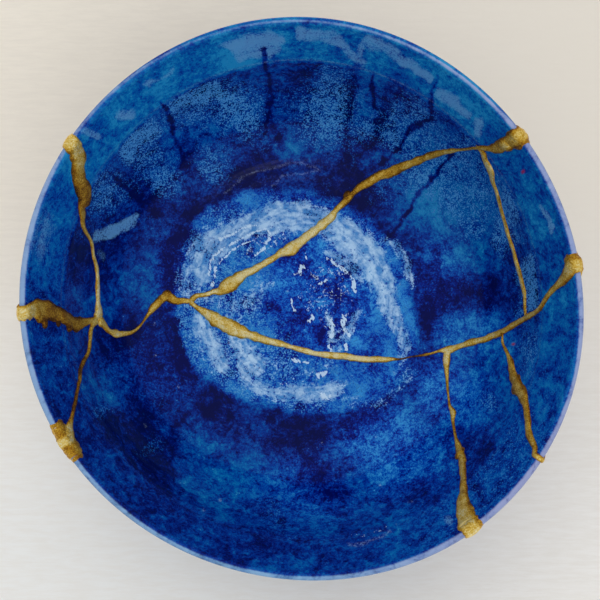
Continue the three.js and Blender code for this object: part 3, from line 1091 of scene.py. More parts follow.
def paint_gold(mesh):
    stations = np.vstack(GOLD_RUNS)
    middles = drawn_out(stations[:, :3])
    finder = KDTree(len(middles))
    for i, middle in enumerate(middles):
        finder.insert(middle, i)
    finder.balance()
    nearest, distance = zip(*(finder.find(place)[1:] for place in corners(mesh) / MM))
    nearest = np.array(nearest)
    half = np.maximum(stations[nearest, 6] / 2, LEAST_HALF)
    write_values(mesh, "shade", stations[nearest, 7])
    # The edge value browns a bead's sides, partly as painted shade.
    write_values(mesh, "edge", soft_step(np.array(distance) / half, *EDGE_SHARES))


paint_gold(gold_seams.data)

# %% [markdown]
# ## A map of the glaze
#
# Up close the glaze is not one blue. It pooled deep blue on the floor, broke to a pale ring where
# the floor begins, which also carries a painted reflection, and is speckled where it ran thin over
# the wall. The map is kept as numbers on the vertices: how teal it is, how thick the pale speckle
# lies, where reflections and highlights are painted on, and where it is bare.
# Each feature is a soft spot, a ring or a stroke in plan, and noise makes every edge ragged.

# %% Random patterns in plan
# Large odd numbers that scramble a cell's place and a seed into a random value.
SCRAMBLE_X, SCRAMBLE_Y, SCRAMBLE_SEED, SCRAMBLE_AGAIN = 374761393, 668265263, 974634777, 1274126177
CLOUD_LAYERS = (1, 0.5, 0.25)


def lattice(points, size, seed):
    """Soft random values from 0 to 1 in plan that change over a given size."""
    cell = np.floor(points / size).astype(np.int64)
    t = soft_step(points / size - cell, 0, 1)

    def corner(right, up):
        value = (cell[:, 0] + right) * SCRAMBLE_X + (cell[:, 1] + up) * SCRAMBLE_Y
        value += seed * SCRAMBLE_SEED
        value = (value ^ (value >> 13)) * SCRAMBLE_AGAIN
        return ((value ^ (value >> 16)) & 0xFFFF) / 0xFFFF

    low = mixed(corner(0, 0), corner(1, 0), t[:, 0])
    high = mixed(corner(0, 1), corner(1, 1), t[:, 0])
    return mixed(low, high, t[:, 1])


def clouds(points, size, seed):
    """The same in layers, each half as large and half as strong as the last, centred on 0."""
    shares = enumerate(CLOUD_LAYERS)
    layers = [lattice(points, size * share, seed + k) * share for k, share in shares]
    return sum(layers) / sum(CLOUD_LAYERS) - 0.5


def ragged(points, size, reach, seed):
    """Points moved about by noise, so that shapes drawn on them get ragged edges."""
    moves = [clouds(points, size, seed + 10 * k) for k in (0, 1)]
    return points + 2 * reach * np.column_stack(moves)


# %% Shapes in plan
def spot(points, x, y, long, wide, turn):
    """1 in the middle of an oval and 0 from its edge outwards."""
    away = points - (x, y)
    u, v = away @ heading(turn) / long, away @ heading(turn + 90) / wide
    return 1 - soft_step(np.hypot(u, v), 0.25, 1.25)


def from_line(points, line):
    """The distance of each point from a line of points."""
    nearest = np.full(len(points), np.inf)
    for a, b in zip(np.array(line[:-1], float), np.array(line[1:], float)):
        share = np.clip((points - a) @ (b - a) / max((b - a) @ (b - a), 1e-9), 0, 1)
        nearest = np.minimum(nearest, np.linalg.norm(points - a - share[:, None] * (b - a), axis=1))
    return nearest


def stroke(points, line, width, soft=0.5):
    return 1 - soft_step(from_line(points, line) / (width / 2), 1 - soft, 1 + soft)


def inside_of(points, outline):
    """How far each point is inside an outline, negative outside it."""
    x, y = points.T
    odd = np.zeros(len(points), bool)
    for (ax, ay), (bx, by) in zip(outline, outline[1:] + outline[:1]):
        if ay != by:
            odd ^= ((ay > y) != (by > y)) & (x < (bx - ax) * (y - ay) / (by - ay) + ax)
    return from_line(points, outline + outline[:1]) * np.where(odd, 1, -1)


# %% What the map is made from, in millimetres
# The pale ring round the floor, pale glaze with a painted reflection of the sky over it: bearing in
# degrees, inner radius, outer radius and strength.
HALO = [
    (-40, 38, 41.5, 0.3), (-30, 38, 41, 0.45), (-20, 34, 39, 0.65), (-10, 28.5, 35.5, 0.75),
    (0, 23.5, 33, 0.85), (20, 23, 33, 0.95), (50, 22.5, 33, 0.9), (75, 23, 34, 0.7),
    (95, 23, 34.5, 0.8), (110, 24.5, 36, 0.85), (125, 28, 38, 0.8), (140, 30, 40, 0.75),
    (155, 32, 42, 0.6), (170, 34, 43, 0.5), (190, 32, 41, 0.35), (205, 30, 40, 0.42),
    (220, 28, 38, 0.35), (240, 29, 36, 0.4), (260, 28.5, 34, 0.7), (275, 29, 34, 0.75),
    (290, 30, 33, 0.4), (318, 31, 34, 0.25),
]
# Pale streaks in the well, pale glaze with the same painted reflection: how pale, width and then
# the line's points.
HALO_STROKES = [
    (0.95, 6, (-33.5, 8.5), (-34.5, 12), (-34, 15)),
    (0.85, 6, (-34, -6), (-31, -14), (-28, -22)),
    (0.95, 8, (-24, -9), (-20, -16), (-16, -22)),
    (0.8, 3, (-22, -20), (-19, -27), (-14, -31)),
    (0.85, 5, (-15, -28), (-6, -31), (4, -31), (12, -30)),
    (0.6, 3.5, (28, 20.5), (32.5, 18), (35.5, 13), (37.5, 7.5)),
    (0.4, 3.5, (15.5, -33), (24, -34), (31, -30), (36, -24)),
    (0.7, 3, (-30, 13), (-25, 20), (-18, 24), (-8, 26)),
    (0.6, 5, (10, 18), (15, 15), (19, 9)),
    (0.5, 4, (14, -8), (12, -16), (9, -22)),
    (0.7, 3, (9.5, -4), (10, -12)),
    (0.6, 4, (18, -4), (15, -12)),
    (0.5, 9, (-30, 2), (-20, -3), (-14, 4)),
    (0.35, 10, (-10, -22), (2, -24)),
]
# The pool in the well: bearing in degrees, radius of its edge and how thick its speckle lies.
POOL = [
    (0, 38, 0.3), (20, 36.5, 0.25), (40, 36, 0.25), (60, 36.5, 0.25), (80, 37, 0.28), (100, 38, 0.3),
    (120, 43.5, 0.4), (135, 46, 0.5), (165, 43, 0.55), (200, 42.5, 0.55), (215, 42.5, 0.55),
    (230, 40.5, 0.55), (250, 36.5, 0.55), (270, 36.5, 0.5), (295, 39, 0.4), (315, 42.5, 0.3),
    (330, 42, 0.3), (345, 41, 0.3),
]
# Soft ovals: place, half length, half width, turn in degrees and strength.
SPECKLED = [
    (49.5, 36.5, 24, 14, -47, 0.5), (31.5, 55.5, 19, 9.5, -22, 0.45), (9, 62, 16, 10.5, 0, 0.4),
    (64, 27, 4, 16.5, 4, 0.8), (69.5, 5, 2.5, 15, -6, 0.7), (56, 38.5, 6, 7, -13, 0.25),
    (31, 38, 10, 11, 0, 0.3), (-20, 61.5, 11, 7, 5, 0.5), (-35, 59, 10.5, 5.5, 24, 0.5),
    (-50, 47, 6.5, 7, 16, 0.4), (-60, 34, 8.5, 5.5, 42, 0.45), (-45, 40, 7.5, 6.5, 7, 0.35),
    (-29, 46, 9, 6.5, 22, 0.4), (69, -20, 5, 17.5, -7, 0.4), (59, -30.5, 3.5, 4.5, 10, 0.3),
    (49.5, -58.5, 9, 2, 38, 0.35), (68, -38.5, 2.5, 9, -24, 0.3), (-18.5, -72.5, 17, 2, -10, 0.15),
    (-60.5, -33, 3, 2.5, -12, 0.3), (-48.5, -45.5, 4.5, 4.5, 26, 0.25), (-38, -43.5, 6, 4, 16, 0.3),
    (-10.5, -68, 6.5, 7.5, 51, 0.15),
]
ROYAL = [
    (27.5, -45.5, 21, 17, 3, 0.9), (46.5, -27.5, 15, 16, 4, 0.8), (54, -10.5, 14.5, 10, 12, 0.6),
    (0, -60, 20, 10, 0, 0.5), (-45, -22, 14, 14, 0, 0.4), (45, 8, 12, 16, 0, 0.6),
    (-42, 8, 8, 20, 0, 0.6),
]
TEAL = [
    (27.5, -45.5, 19, 15, 3, 0.5), (48.5, -28.5, 13, 14, 4, 0.45), (54, -10.5, 14.5, 10, 12, 0.6),
    (-10.5, -58, 19.5, 13.5, 0, 0.5), (11.5, -67.5, 24, 7, 5, 0.6), (-58.5, -25, 10, 12.5, -6, 0.45),
    (-51, 4.5, 6.5, 16.5, 0, 0.25), (53, 13.5, 9.5, 9, 0, 0.4), (41, 29.5, 10, 10.5, 0, 0.7),
    (-33, -54, 12, 11, -6, 0.35),
]
NAVY = [
    (13.5, 64, 4.5, 6.5, -4, 0.7), (55, 3.5, 11.5, 8.5, 0, 0.7), (-39, -9, 5.5, 18.5, 8, 0.8),
    (-29.5, -34.5, 11, 8.5, -30, 0.8), (-57, -5.5, 8.5, 13, 0, 0.5), (-40.5, 12, 6, 14, 0, 0.6),
    (-61.5, -38.5, 7, 6, -48, 0.5), (-44.5, -57, 12, 4.5, -40, 0.5), (43, -5.5, 3, 11, 0, 0.8),
    (58.5, -47.5, 9, 4.5, 44, 0.6), (-2, 70.5, 13.5, 1.2, 0, 0.4), (5, 4.5, 10, 10, 0, 0.9),
    (-15, 18.5, 7, 4.5, 24, 0.9), (-6, -21.5, 4.5, 5.5, 0, 0.5),
]
LACY = [
    (-14, 20, 17, 7, 24, 0.8), (8, 4, 13, 15, 0, 0.8), (13, -11, 10, 11, 0, 0.55),
    (-23, -13, 11, 9, -55, 0.7), (0, -27, 17, 5, 4, 0.7), (27, 12, 6, 15, 20, 0.5),
]
# Painted reflections: soft ovals of pale sheen on the collar and the wall.
PAINTED_SHEEN_OVALS = [
    (-50.5, 54.5, 3.5, 1.5, 35, 0.8), (-59, 46.5, 2.5, 1.5, 39, 0.8), (-63.5, 14, 2, 3, 6, 0.5),
    (42, -63.5, 2, 2, 27, 0.7), (-73.5, 20, 3.5, 12, -12, 0.6),
]
# Strokes: width and then the line's points.
VEINS = [
    (1.1, (47.5, 47), (44, 42.5), (38, 35.5), (36.5, 31.5), (33, 27), (28, 21.5)),
    (1.2, (39.5, 57), (34.5, 55.5), (32, 51), (26, 46.5)),
    (1.1, (21.5, 67), (23, 61.5)),
    (0.8, (39, 64.5), (38.5, 61.5), (39.5, 58.5)),
    (1.1, (-11.5, 73), (-11, 69.5), (-9.5, 65.5), (-11, 62), (-12.5, 55.5)),
    (1.4, (-41, 57.5), (-40.5, 55), (-40, 52), (-39, 48), (-39, 43.5)),
    (1.5, (15, 48.5), (14, 43)),
    (1.3, (-57.5, 38), (-55, 35.5), (-51.5, 32), (-47, 29)),
]
DARK_RUNS = [
    (6.5, (-38, 49), (-37, 42), (-36.5, 34.5), (-38.5, 26), (-41, 18), (-43, 8)),
    (4.0, (-40.5, -39), (-42.5, -44.5), (-45, -51), (-46, -54)),
    (3.0, (15.5, 70), (14.5, 62), (15, 54), (14, 45)),
    (3.0, (27.5, 66), (24, 58), (23, 51)),
    (2.5, (-9, 68), (-10, 60), (-6, 53)),
    (4.0, (47, 18), (43, 8), (43, -6)),
]
# Painted reflections as strokes on the collar: width and then the line's points.
PAINTED_SHEEN_STROKES = [
    (2.0, (-1, 76), (3.5, 76), (8, 75.5), (11.5, 74.5), (14, 72.5), (16, 71), (18.5, 70)),
    (2.0, (17, 71.5), (17, 73), (18.5, 74), (22.5, 73), (28, 70.5), (32.5, 68), (37.5, 65)),
    (0.9, (70, 28), (72, 23.5), (73, 20)),
]
# Painted reflections as outlines of points, on the collar and the wall.
PAINTED_SHEEN_PATCHES = [
    [(-25.5, 72), (-22, 73.5), (-17, 75.5), (-9.5, 76.5), (-5, 76), (-4.5, 74.5), (-6.5, 72.5),
     (-10, 71), (-11, 72.5), (-12, 71), (-15.5, 71), (-18.5, 70), (-21, 71.5)],
    [(38.5, 61), (39.5, 63.5), (45, 60.5), (50.5, 55.5), (50, 53.5), (45, 57), (40.5, 60)],
    [(50.5, 55), (53.5, 53.5), (54.5, 50.5), (53.5, 49), (51.5, 50)],
    [(-46.5, 60.5), (-44.5, 62.5), (-41, 63.5), (-38, 66), (-36, 67), (-36, 66), (-39, 64),
     (-43.5, 61)],
    [(-65.5, 21.5), (-62, 24.5), (-58, 26.5), (-54, 29.5), (-52.5, 28.5), (-54, 24.5), (-58.5, 21.5),
     (-63.5, 18.5), (-65.5, 18)],
]
# Crisp white streaks in the well, partly foam and partly painted highlights: width and then the line's
# points.
FOAM_AND_HIGHLIGHT_STROKES = [
    (1.2, (-12.5, 24.5), (-11.5, 21.5), (-13.5, 18.5), (-16.5, 15.5)),
    (1.2, (-32, 9), (-31, 14), (-27, 19), (-20, 23), (-13.5, 25.5)),
    (1.2, (-28, 22), (-21.5, 26), (-16.5, 27.5)),
    (1.0, (-28, 13), (-24, 18), (-17, 21)),
    (1.7, (-29, 12), (-30.5, 6)),
    (2.2, (9.5, 15), (14, 12), (16.5, 8), (17.5, 4.5)),
    (2.2, (9.5, -4.5), (10, -10)),
    (1.9, (15, -4.5), (14, -8.5), (16, -11)),
    (1.4, (9.5, -14.5), (10, -17)),
    (1.4, (15, -14.5), (15, -17)),
    (1.2, (1, 16), (1.5, 14.5)),
    (1.4, (5, 5.5), (8.5, 7.5)),
    (1.2, (-3, 10.5), (0, 12)),
    (1.4, (-2, 0.5), (-2, -2)),
    (1.4, (3, -4.5), (2.5, -7)),
    (1.9, (7.5, -31.5), (11, -31.5)),
    (1.2, (-3, -18.5), (2.5, -20.5)),
    (2.2, (6.2, -25.3), (8.6, -24.6)),
]
# Painted highlights along the pool's lower edge and the shoulder: width and then the line's points.
PAINTED_HIGHLIGHT_STROKES = [
    (0.8, (11, -32), (15, -28.5), (19, -25), (23, -21)),
    (1.0, (15.5, -34), (20, -35.5), (25.5, -34), (29, -32)),
    (0.7, (15, -70.3), (20.5, -68.8), (27.5, -65.8)),
]
# Painted highlights along the floor's edge and the shoulder: width and then the line's points.
PAINTED_HIGHLIGHT_LINES = [
    (0.5, (-28.5, 37.5), (-21, 41.5), (-13.5, 44.5), (-4, 47.5), (2, 47.5), (7.5, 45)),
    (0.6, (-10, 40), (-6.5, 43), (-1, 44), (7.5, 45)),
    (0.5, (14, -71.8), (20.5, -70.3), (25.5, -68)),
]
SPECKLED_ARCS = [
    (4.0, (-40, 58), (-37.5, 60.5), (-32, 63.5), (-26.5, 65), (-23, 63.5)),
    (4.0, (-54, 45), (-51.5, 48), (-48, 51), (-44.5, 53.5)),
]
WHITE_DOTS = [
    (-5, 4), (6.5, -5.5), (19, -2), (21, -4), (-11.5, 16.5), (-49.5, -7), (-49, -17.5),
    (-41.5, -28), (-50.5, -39.5), (-26, -62.5), (-30, -64), (33, -61), (24.5, -44.5), (6.5, -47),
    (25, -58.5),
]
RED_DOTS = [(65, 38), (66, -13)]
# The lip: bearing in degrees, the band's inner and outer radius, how pale and how pink it is.
# Its paleness is glaze broken thin over the edge, with painted light where the lip faces the light.
LIP = [
    (0, 78.0, 82, 1, 0.7), (20, 78.0, 82, 0.95, 0.8), (45, 77.9, 78.8, 0.95, 0.8),
    (75, 77.9, 78.6, 0.8, 0.4), (110, 78.1, 78.7, 0.5, 0.5), (135, 78.5, 79.8, 0.6, 0.7),
    (165, 78.0, 82, 1, 0.4), (200, 77.9, 82, 1, 0.3), (240, 78.3, 82, 0.9, 0.1),
    (270, 78.3, 82, 0.8, 0.0), (300, 77.8, 82, 0.9, 0.7), (320, 77.9, 82, 1, 1),
    (345, 78.5, 82, 0.9, 0.8),
]
# The collar: bearing in degrees, its tone and how thick its speckle lies.
COLLAR = [
    (0, 0.64, 0.15), (30, 0.66, 0.1), (60, 0.76, 0.05), (90, 0.8, 0.05), (120, 0.76, 0.1),
    (150, 0.72, 0.2), (175, 0.58, 0.25), (195, 0.34, 0.2), (225, 0.3, 0.1), (250, 0.34, 0.1),
    (280, 0.36, 0.15), (305, 0.5, 0.3), (325, 0.48, 0.35), (345, 0.54, 0.25),
]
# A painted highlight along the shoulder crease: bearing in degrees and how bright it is.
PAINTED_CREASE_HIGHLIGHT = [(0, 0.3), (40, 0.9), (95, 0.9), (130, 0.3), (200, 0.1), (330, 0.1)]
print("soft ovals in the map:", len(SPECKLED) + len(TEAL) + len(NAVY) + len(PAINTED_SHEEN_OVALS))


# %% Reading a table by bearing
def by_bearing(table, plan):
    """The table's values at the bearing of each point, going round without a step."""
    table = np.array(table, float)
    turned = np.degrees(np.arctan2(plan[:, 1], plan[:, 0]))
    order = np.argsort(table[:, 0] % 360)
    bearings = table[order, 0] % 360
    return [np.interp(turned % 360, bearings, column[order], period=360) for column in table[:, 1:].T]


def strongest(points, shapes, draw):
    return np.max([draw(points, shape) for shape in shapes], axis=0)


def ovals(points, rows):
    return strongest(points, rows, lambda p, row: row[5] * spot(p, *row[:5]))


def strokes(points, rows, soft=0.5):
    return strongest(points, rows, lambda p, row: stroke(p, list(row[1:]), row[0], soft))


# %% The map on the inside of the bowl
# The collar's glaze begins round the shoulder, and a painted highlight line lies along its crease.
COLLAR_BEGINS, CREASE_LINE, CREASE_FADE = (-1.5, 0.5), 0.4, (0.1, 0.6)
# A darker moat runs round the pool out to a radius, and the pool has a dark core.
POOL_FADE, MOAT_BEGINS, MOAT_END, MOAT_SOFTNESS = (-2.0, 1.5), 0.5, 49.5, (1.5, 2.5)
CORE_PLACE, CORE_FADE, DOT_FADE = (5, 3), (12, 24), (0.1, 0.5)


def inside_map(plan, height):
    """The glaze's features on the inside, each from 0 to 1."""
    loose = ragged(plan, 9, 2.6, 100)
    fine = ragged(plan, 2.4, 0.6, 200)
    radius = np.hypot(*loose.T)
    inner, outer, strength = by_bearing(HALO, plan)
    pool_edge, pool_snow = by_bearing(POOL, plan)
    breadth = outer - inner
    halo = strength * band(radius, inner, outer, (0.25 * breadth, 0.3 * breadth))
    streaks = strongest(
        loose, HALO_STROKES, lambda p, row: row[0] * stroke(p, list(row[2:]), row[1], 0.9)
    )
    halo = np.maximum(halo, streaks)
    in_pool = 1 - soft_step(radius - pool_edge, *POOL_FADE)
    moat = band(radius, pool_edge + MOAT_BEGINS, MOAT_END, MOAT_SOFTNESS)
    on_collar = soft_step(height - SHOULDER_HEIGHT, *COLLAR_BEGINS)
    core = 1 - soft_step(np.hypot(*(loose - CORE_PLACE).T), *CORE_FADE)

    # The tone is darker to the left, and apart from its ovals it drifts in clouds.
    leftness = soft_step(-plan[:, 0], 10, 60)
    tone = 0.42 - 0.12 * leftness + 0.85 * clouds(loose, 17, 300)
    tone += 0.36 * ovals(loose, TEAL) - 0.5 * ovals(loose, NAVY) - 0.24 * moat
    tone = mixed(tone, 0.66 - 0.3 * core + 1.1 * clouds(fine, 6, 310), in_pool)
    collar_tone, collar_snow = by_bearing(COLLAR, plan)
    tone = mixed(tone, collar_tone + 0.5 * clouds(plan, 10, 320), on_collar)

    # The speckle lies thicker towards the top of the photo.
    upper = soft_step(plan[:, 1], 5, 45)
    snow = 0.1 + 0.12 * upper + 0.8 * ovals(loose, SPECKLED) - 0.12 * moat
    snow += 0.45 * clouds(loose, 8, 340)
    snow = np.maximum(snow, 0.75 * strokes(loose, SPECKLED_ARCS, 0.9))
    snow = mixed(snow, collar_snow, on_collar)
    snow = mixed(snow, pool_snow - 0.35 * core, in_pool)

    # Veins and runs are dark. Painted reflections, white foam with painted highlights and painted
    # highlight lines are pale.
    torn = ragged(plan, 2.2, 1.1, 230)
    patchy = 0.98 + 0.9 * clouds(plan, 3, 240)
    veins = np.maximum(patchy * strokes(torn, VEINS, 0.6), 0.35 * strokes(loose, DARK_RUNS, 0.9))
    milk = np.maximum(ovals(loose, PAINTED_SHEEN_OVALS), 0.9 * strokes(fine, PAINTED_SHEEN_STROKES, 0.7))
    patch = strongest(fine, PAINTED_SHEEN_PATCHES, inside_of)
    milk = np.maximum(milk, soft_step(patch, -0.6, 1.2))
    # The white streaks are partly painted highlights, and the pale strokes are painted highlights.
    white = np.maximum(strokes(loose, FOAM_AND_HIGHLIGHT_STROKES, 1.0), 0.5 * strokes(loose, PAINTED_HIGHLIGHT_STROKES, 1.0))
    crease = 1 - soft_step(np.abs(height - SHOULDER_HEIGHT - CREASE_LINE), *CREASE_FADE)
    (crease_highlight,) = by_bearing(PAINTED_CREASE_HIGHLIGHT, plan)
    # Painted highlight lines on the floor's edge, the shoulder and its crease.
    line = np.maximum(0.6 * strokes(loose, PAINTED_HIGHLIGHT_LINES, 0.6), 0.6 * crease * crease_highlight)
    dots, red = (
        strongest(plan, spots, lambda p, at: 1 - soft_step(np.hypot(*(p - at).T), *DOT_FADE))
        for spots in (WHITE_DOTS, RED_DOTS)
    )
    values = {
        "tone": tone - 0.6 * veins,
        "royal": np.maximum(in_pool, ovals(loose, ROYAL)),
        "snow": snow * (1 - np.minimum(veins, 0.9)),
        "halo": halo,
        "lace": ovals(loose, LACY),
        "milk": milk * (1 - 0.7 * veins),
        "white": white,
        "line": np.maximum(0.5 * line, 0.8 * dots),
        "red": red,
    }
    return {label: np.clip(value, 0, 1) for label, value in values.items()}


# %% The map on a whole sherd
# The pale band, thin glaze with some painted light, lies on the lip only, and the clay is bare
# where the foot ring stands.
LIP_FROM, LIP_SOFTNESS, BARE_FADE, BARE_MARGIN = 59.5, (0.4, 0.3), (0.9, 1.5), 3


def paint_glaze(mesh):
    places = corners(mesh) / MM
    plan = places[:, :2] / stretch(places)[:, None]
    radius, height = np.hypot(*plan.T), places[:, 2]
    # The inside lies nearer the inner profile than the outer one at the same radius.
    inner = np.interp(radius, WALL[:, 0], WALL[:, 1])
    outer = np.interp(radius, WALL[:, 2], WALL[:, 3])
    is_inside = (height > (inner + outer) / 2).astype(float)
    values = inside_map(plan, height)
    plain = {
        "tone": 0.35 + 0.4 * clouds(np.column_stack([plan[:, 0], height]), 14, 500),
        "snow": 0.1 + 0.2 * clouds(plan, 11, 520),
    }
    for label, inside_value in values.items():
        write_values(mesh, label, mixed(plain.get(label, 0.0), inside_value, is_inside))
    inner_edge, outer_edge, paleness, pinkness = by_bearing(LIP, plan)
    on_lip = paleness * band(radius, inner_edge, outer_edge, LIP_SOFTNESS) * (height > LIP_FROM)
    write_values(mesh, "lip", on_lip)
    write_values(mesh, "pink", pinkness)
    bare = (1 - soft_step(height, *BARE_FADE)) * (radius > FOOT_INNER - BARE_MARGIN)
    write_values(mesh, "bare", bare)


for sherd in sherds.values():
    paint_glaze(sherd.data)
print("glaze map on", sum(len(s.data.vertices) for s in sherds.values()), "vertices")

# %% [markdown]
# ## The blue glaze
#
# A cobalt glaze over pale clay is a coloured glass. Where it is thick it is nearly navy, where it
# is thin it turns teal, and tiny bubbles and crystals scatter light as a pale speckle. The recipe
# mixes those by the map: a base blue from the tone, speckles whose cover grows with the snow value,
# the pale ring with its painted reflection, painted reflections on the collar and wall, and the
# crisp white flecks, partly foam and partly painted highlights.

# %% Colours by their ordinary screen values
def paint(red, green, blue):
    """A screen colour, from 0 to 255 each, as the linear colour that the shader wants."""
    share = [value / 255 for value in (red, green, blue)]
    return (*(v / 12.92 if v < 0.04045 else ((v + 0.055) / 1.055) ** 2.4 for v in share), 1.0)


def map_values(tree, *labels):
    """The map's values, by their names."""
    return [
        Wire.node(tree, "ShaderNodeAttribute", {"attribute_name": label}, out="Fac") for label in labels
    ]


def grain(place, size, *details):
    """Noise from about minus a half to a half, with features of about a size in millimetres."""
    return noise(place.tree, place, 1 / (size * MM), *details) - 0.5


def turned_grain(place, size, spread):
    """The same drawn out along the turning, as a brush or a wheel leaves it."""
    x, y, _ = place.parts()
    radius = (x * x + y * y).call("SQRT")
    around = vector(place.tree, x / radius * spread, y / radius * spread, radius / (size * MM))
    return noise(place.tree, around, 1.0, 3.0, 0.55, 0.4) - 0.5


def surface(tree, links, constants, height=None, depth=0.1):
    """Ends a material in one glossy shader, with a bump if it has a height."""
    shader = Wire.node(tree, "ShaderNodeBsdfPrincipled", {}, {**constants, **links})
    if height is not None:
        bump = Wire.node(tree, "ShaderNodeBump", {}, {
            "Strength": 1.0, "Distance": depth * MM, "Height": height,
        })
        tree.links.new(bump.socket, shader.socket.node.inputs["Normal"])
    Wire.node(tree, "ShaderNodeOutputMaterial", {}, {"Surface": shader})


# %% The glaze's recipe
def fill_glaze(tree):
    place = Wire.node(tree, "ShaderNodeTexCoord", out="Object")
    tone, royal, snow, halo, lace, milk = map_values(
        tree, "tone", "royal", "snow", "halo", "lace", "milk"
    )
    white, line, red, lip, pink, bare = map_values(
        tree, "white", "line", "red", "lip", "pink", "bare"
    )
    # Five noises from coarse to fine, the last drawn out along the turning.
    haze = grain(place, 7, 4.0, 0.65, 1.2)
    mottle = grain(place, 2.4, 5.0, 0.7, 0.6)
    speck = grain(place, 0.9, 3.0, 0.75)
    fine = grain(place, 0.46, 1.0, 0.5)
    streak = turned_grain(place, 1.6, 5.0)

    # The base blue, and a clearer, more violet one for the pool and where the glaze ran thick.
    depth = tone + haze * 1.15 + mottle * 1.25 + streak * 0.35 + speck * 0.8 + fine * 0.45
    base = depth.ramp(
        (0.0, paint(0, 8, 70)),
        (0.2, paint(0, 18, 102)),
        (0.42, paint(0, 48, 140)),
        (0.62, paint(0, 80, 160)),
        (0.82, paint(6, 106, 172)),
        (1.0, paint(28, 132, 188)),
    )
    clear = (depth + mottle * 0.6 + speck * 0.8 + fine * 0.5).ramp(
        (0.0, paint(0, 6, 92)),
        (0.3, paint(0, 34, 150)),
        (0.6, paint(6, 86, 190)),
        (1.0, paint(56, 148, 220)),
    )
    base = (royal * 0.8).blend(base, clear)

    # Pale speckles, thicker and lighter where the snow value is high.
    level = speck * 0.8 + fine * 1.3 + mottle * 0.9 + (snow - 0.5) * 0.6
    cover = level.smooth(-0.02, 0.09) * snow.smooth(0.05, 0.35)
    colour = (cover * 0.85).blend(base, snow.blend(paint(0, 76, 160), paint(40, 130, 200)))
    sparkle = level.smooth(0.13, 0.2) * snow.smooth(0.2, 0.55) * (0.45 + royal * 0.35)
    colour = sparkle.blend(colour, paint(94, 162, 214))

    # The pale ring, partly a painted reflection: a thin fog, grains of foam over it and fine holes
    # where bubbles burst.
    level = halo * 1.2 + speck * 1.1 + fine * 1.2 + mottle * 1.1 + streak * 0.7
    pores = Wire.node(tree, "ShaderNodeTexVoronoi", {}, {
        "Vector": place, "Scale": 1 / (1.3 * MM),
    }, out="Distance")
    open_pores = (pores + mottle * 0.9 + speck * 0.4).smooth(0.1, 0.22) * 0.8 + 0.2
    foam = (level.smooth(0.46, 0.72) * 0.8 + halo.smooth(0.6, 1.0) * 0.14) * open_pores
    thick = (halo * 0.5 + mottle * 1.6 + streak * 1.2 + haze * 0.8).smooth(0.1, 0.8)
    colour = foam.blend(colour, thick.blend(paint(70, 140, 206), paint(184, 218, 246)))

    # Threads and flakes of dried foam in the well, drawn out one way, and crisp white streaks that
    # are partly foam and partly painted highlights off the ripples.
    x, y, z = place.parts()
    leaning = vector(tree, x + y * 0.5, y * 0.45 - x * 0.25, z)
    flake = grain(leaning, 1.1, 2.0, 0.6, 0.8)
    web = grain(place, 5, 3.0, 0.55, 1.5)
    thread = 1 - (web * 16).call("ABSOLUTE").smooth(0.0, 1.0)
    torn = (lace * (thread * 0.42 + 0.3) + flake * 1.1 + fine * 0.4).smooth(0.5, 0.62)
    foam_and_glint_strands = (white * 0.7 + flake * 1.6 + speck * 0.5).smooth(0.5, 0.62)
    torn = torn * lace.smooth(0.1, 0.4) * 0.75
    foam_and_glint_strands = foam_and_glint_strands * white.smooth(0.05, 0.3)
    foam = torn.math("MAXIMUM", torn, foam_and_glint_strands)
    colour = (foam * 0.9).blend(colour, paint(196, 224, 248))

    # Painted reflections, the two red dots, painted highlight lines, the pale lip with its painted
    # light, and the bare clay of the foot.
    sheen = milk * (0.62 + streak * 1.1 + fine * 0.9 + speck * 0.5)
    colour = (sheen.smooth(0.2, 0.65) * 0.8).blend(colour, paint(90, 148, 198))
    colour = red.blend(colour, paint(150, 16, 44))
    # Painted highlight lines, with small white specks.
    colour = (line * (speck + fine).smooth(-0.1, 0.2)).blend(colour, paint(150, 170, 200))
    # The lip's pale band: glaze broken thin on the edge, with painted light on it.
    edge = (haze * 1.5 + 0.5).blend(paint(84, 140, 190), paint(138, 176, 212))
    edge = (pink * 0.8).blend(edge, paint(150, 150, 194))
    colour = (lip * (haze * 1.6 + speck * 0.8 + 0.85)).smooth(0.1, 0.9).blend(colour, edge)
    clay = (haze + 0.5).blend(paint(176, 150, 120), paint(206, 184, 154))
    colour = bare.blend(colour, clay)
    rough = 0.13 - royal * 0.04 + cover * 0.08 + mottle * 0.1 + bare * 0.6
    surface(
        tree,
        {"Base Color": colour, "Roughness": rough},
        {"IOR": 1.5, "Specular IOR Level": 0.16},
        height=mottle * 0.6 + speck * 0.3 + cover * 0.2 + foam * 0.3,
        depth=0.14,
    )


fill_glaze(glaze.node_tree)
print("nodes in the glaze:", len(glaze.node_tree.nodes))

# %% [markdown]
# ## The gold's finish
#
# The gold is brass-coloured powder on lacquer, burnished unevenly. Its colour runs from pale cream
# gold where the powder is thick, through old gold, to burnt brown lacquer at the edges and on the
# thin stretches, and part of that is painted light: pale crowns partly a painted highlight, brown
# edges partly painted shade. It is metal under the powder's grain, so the brown parts are also
# rougher.

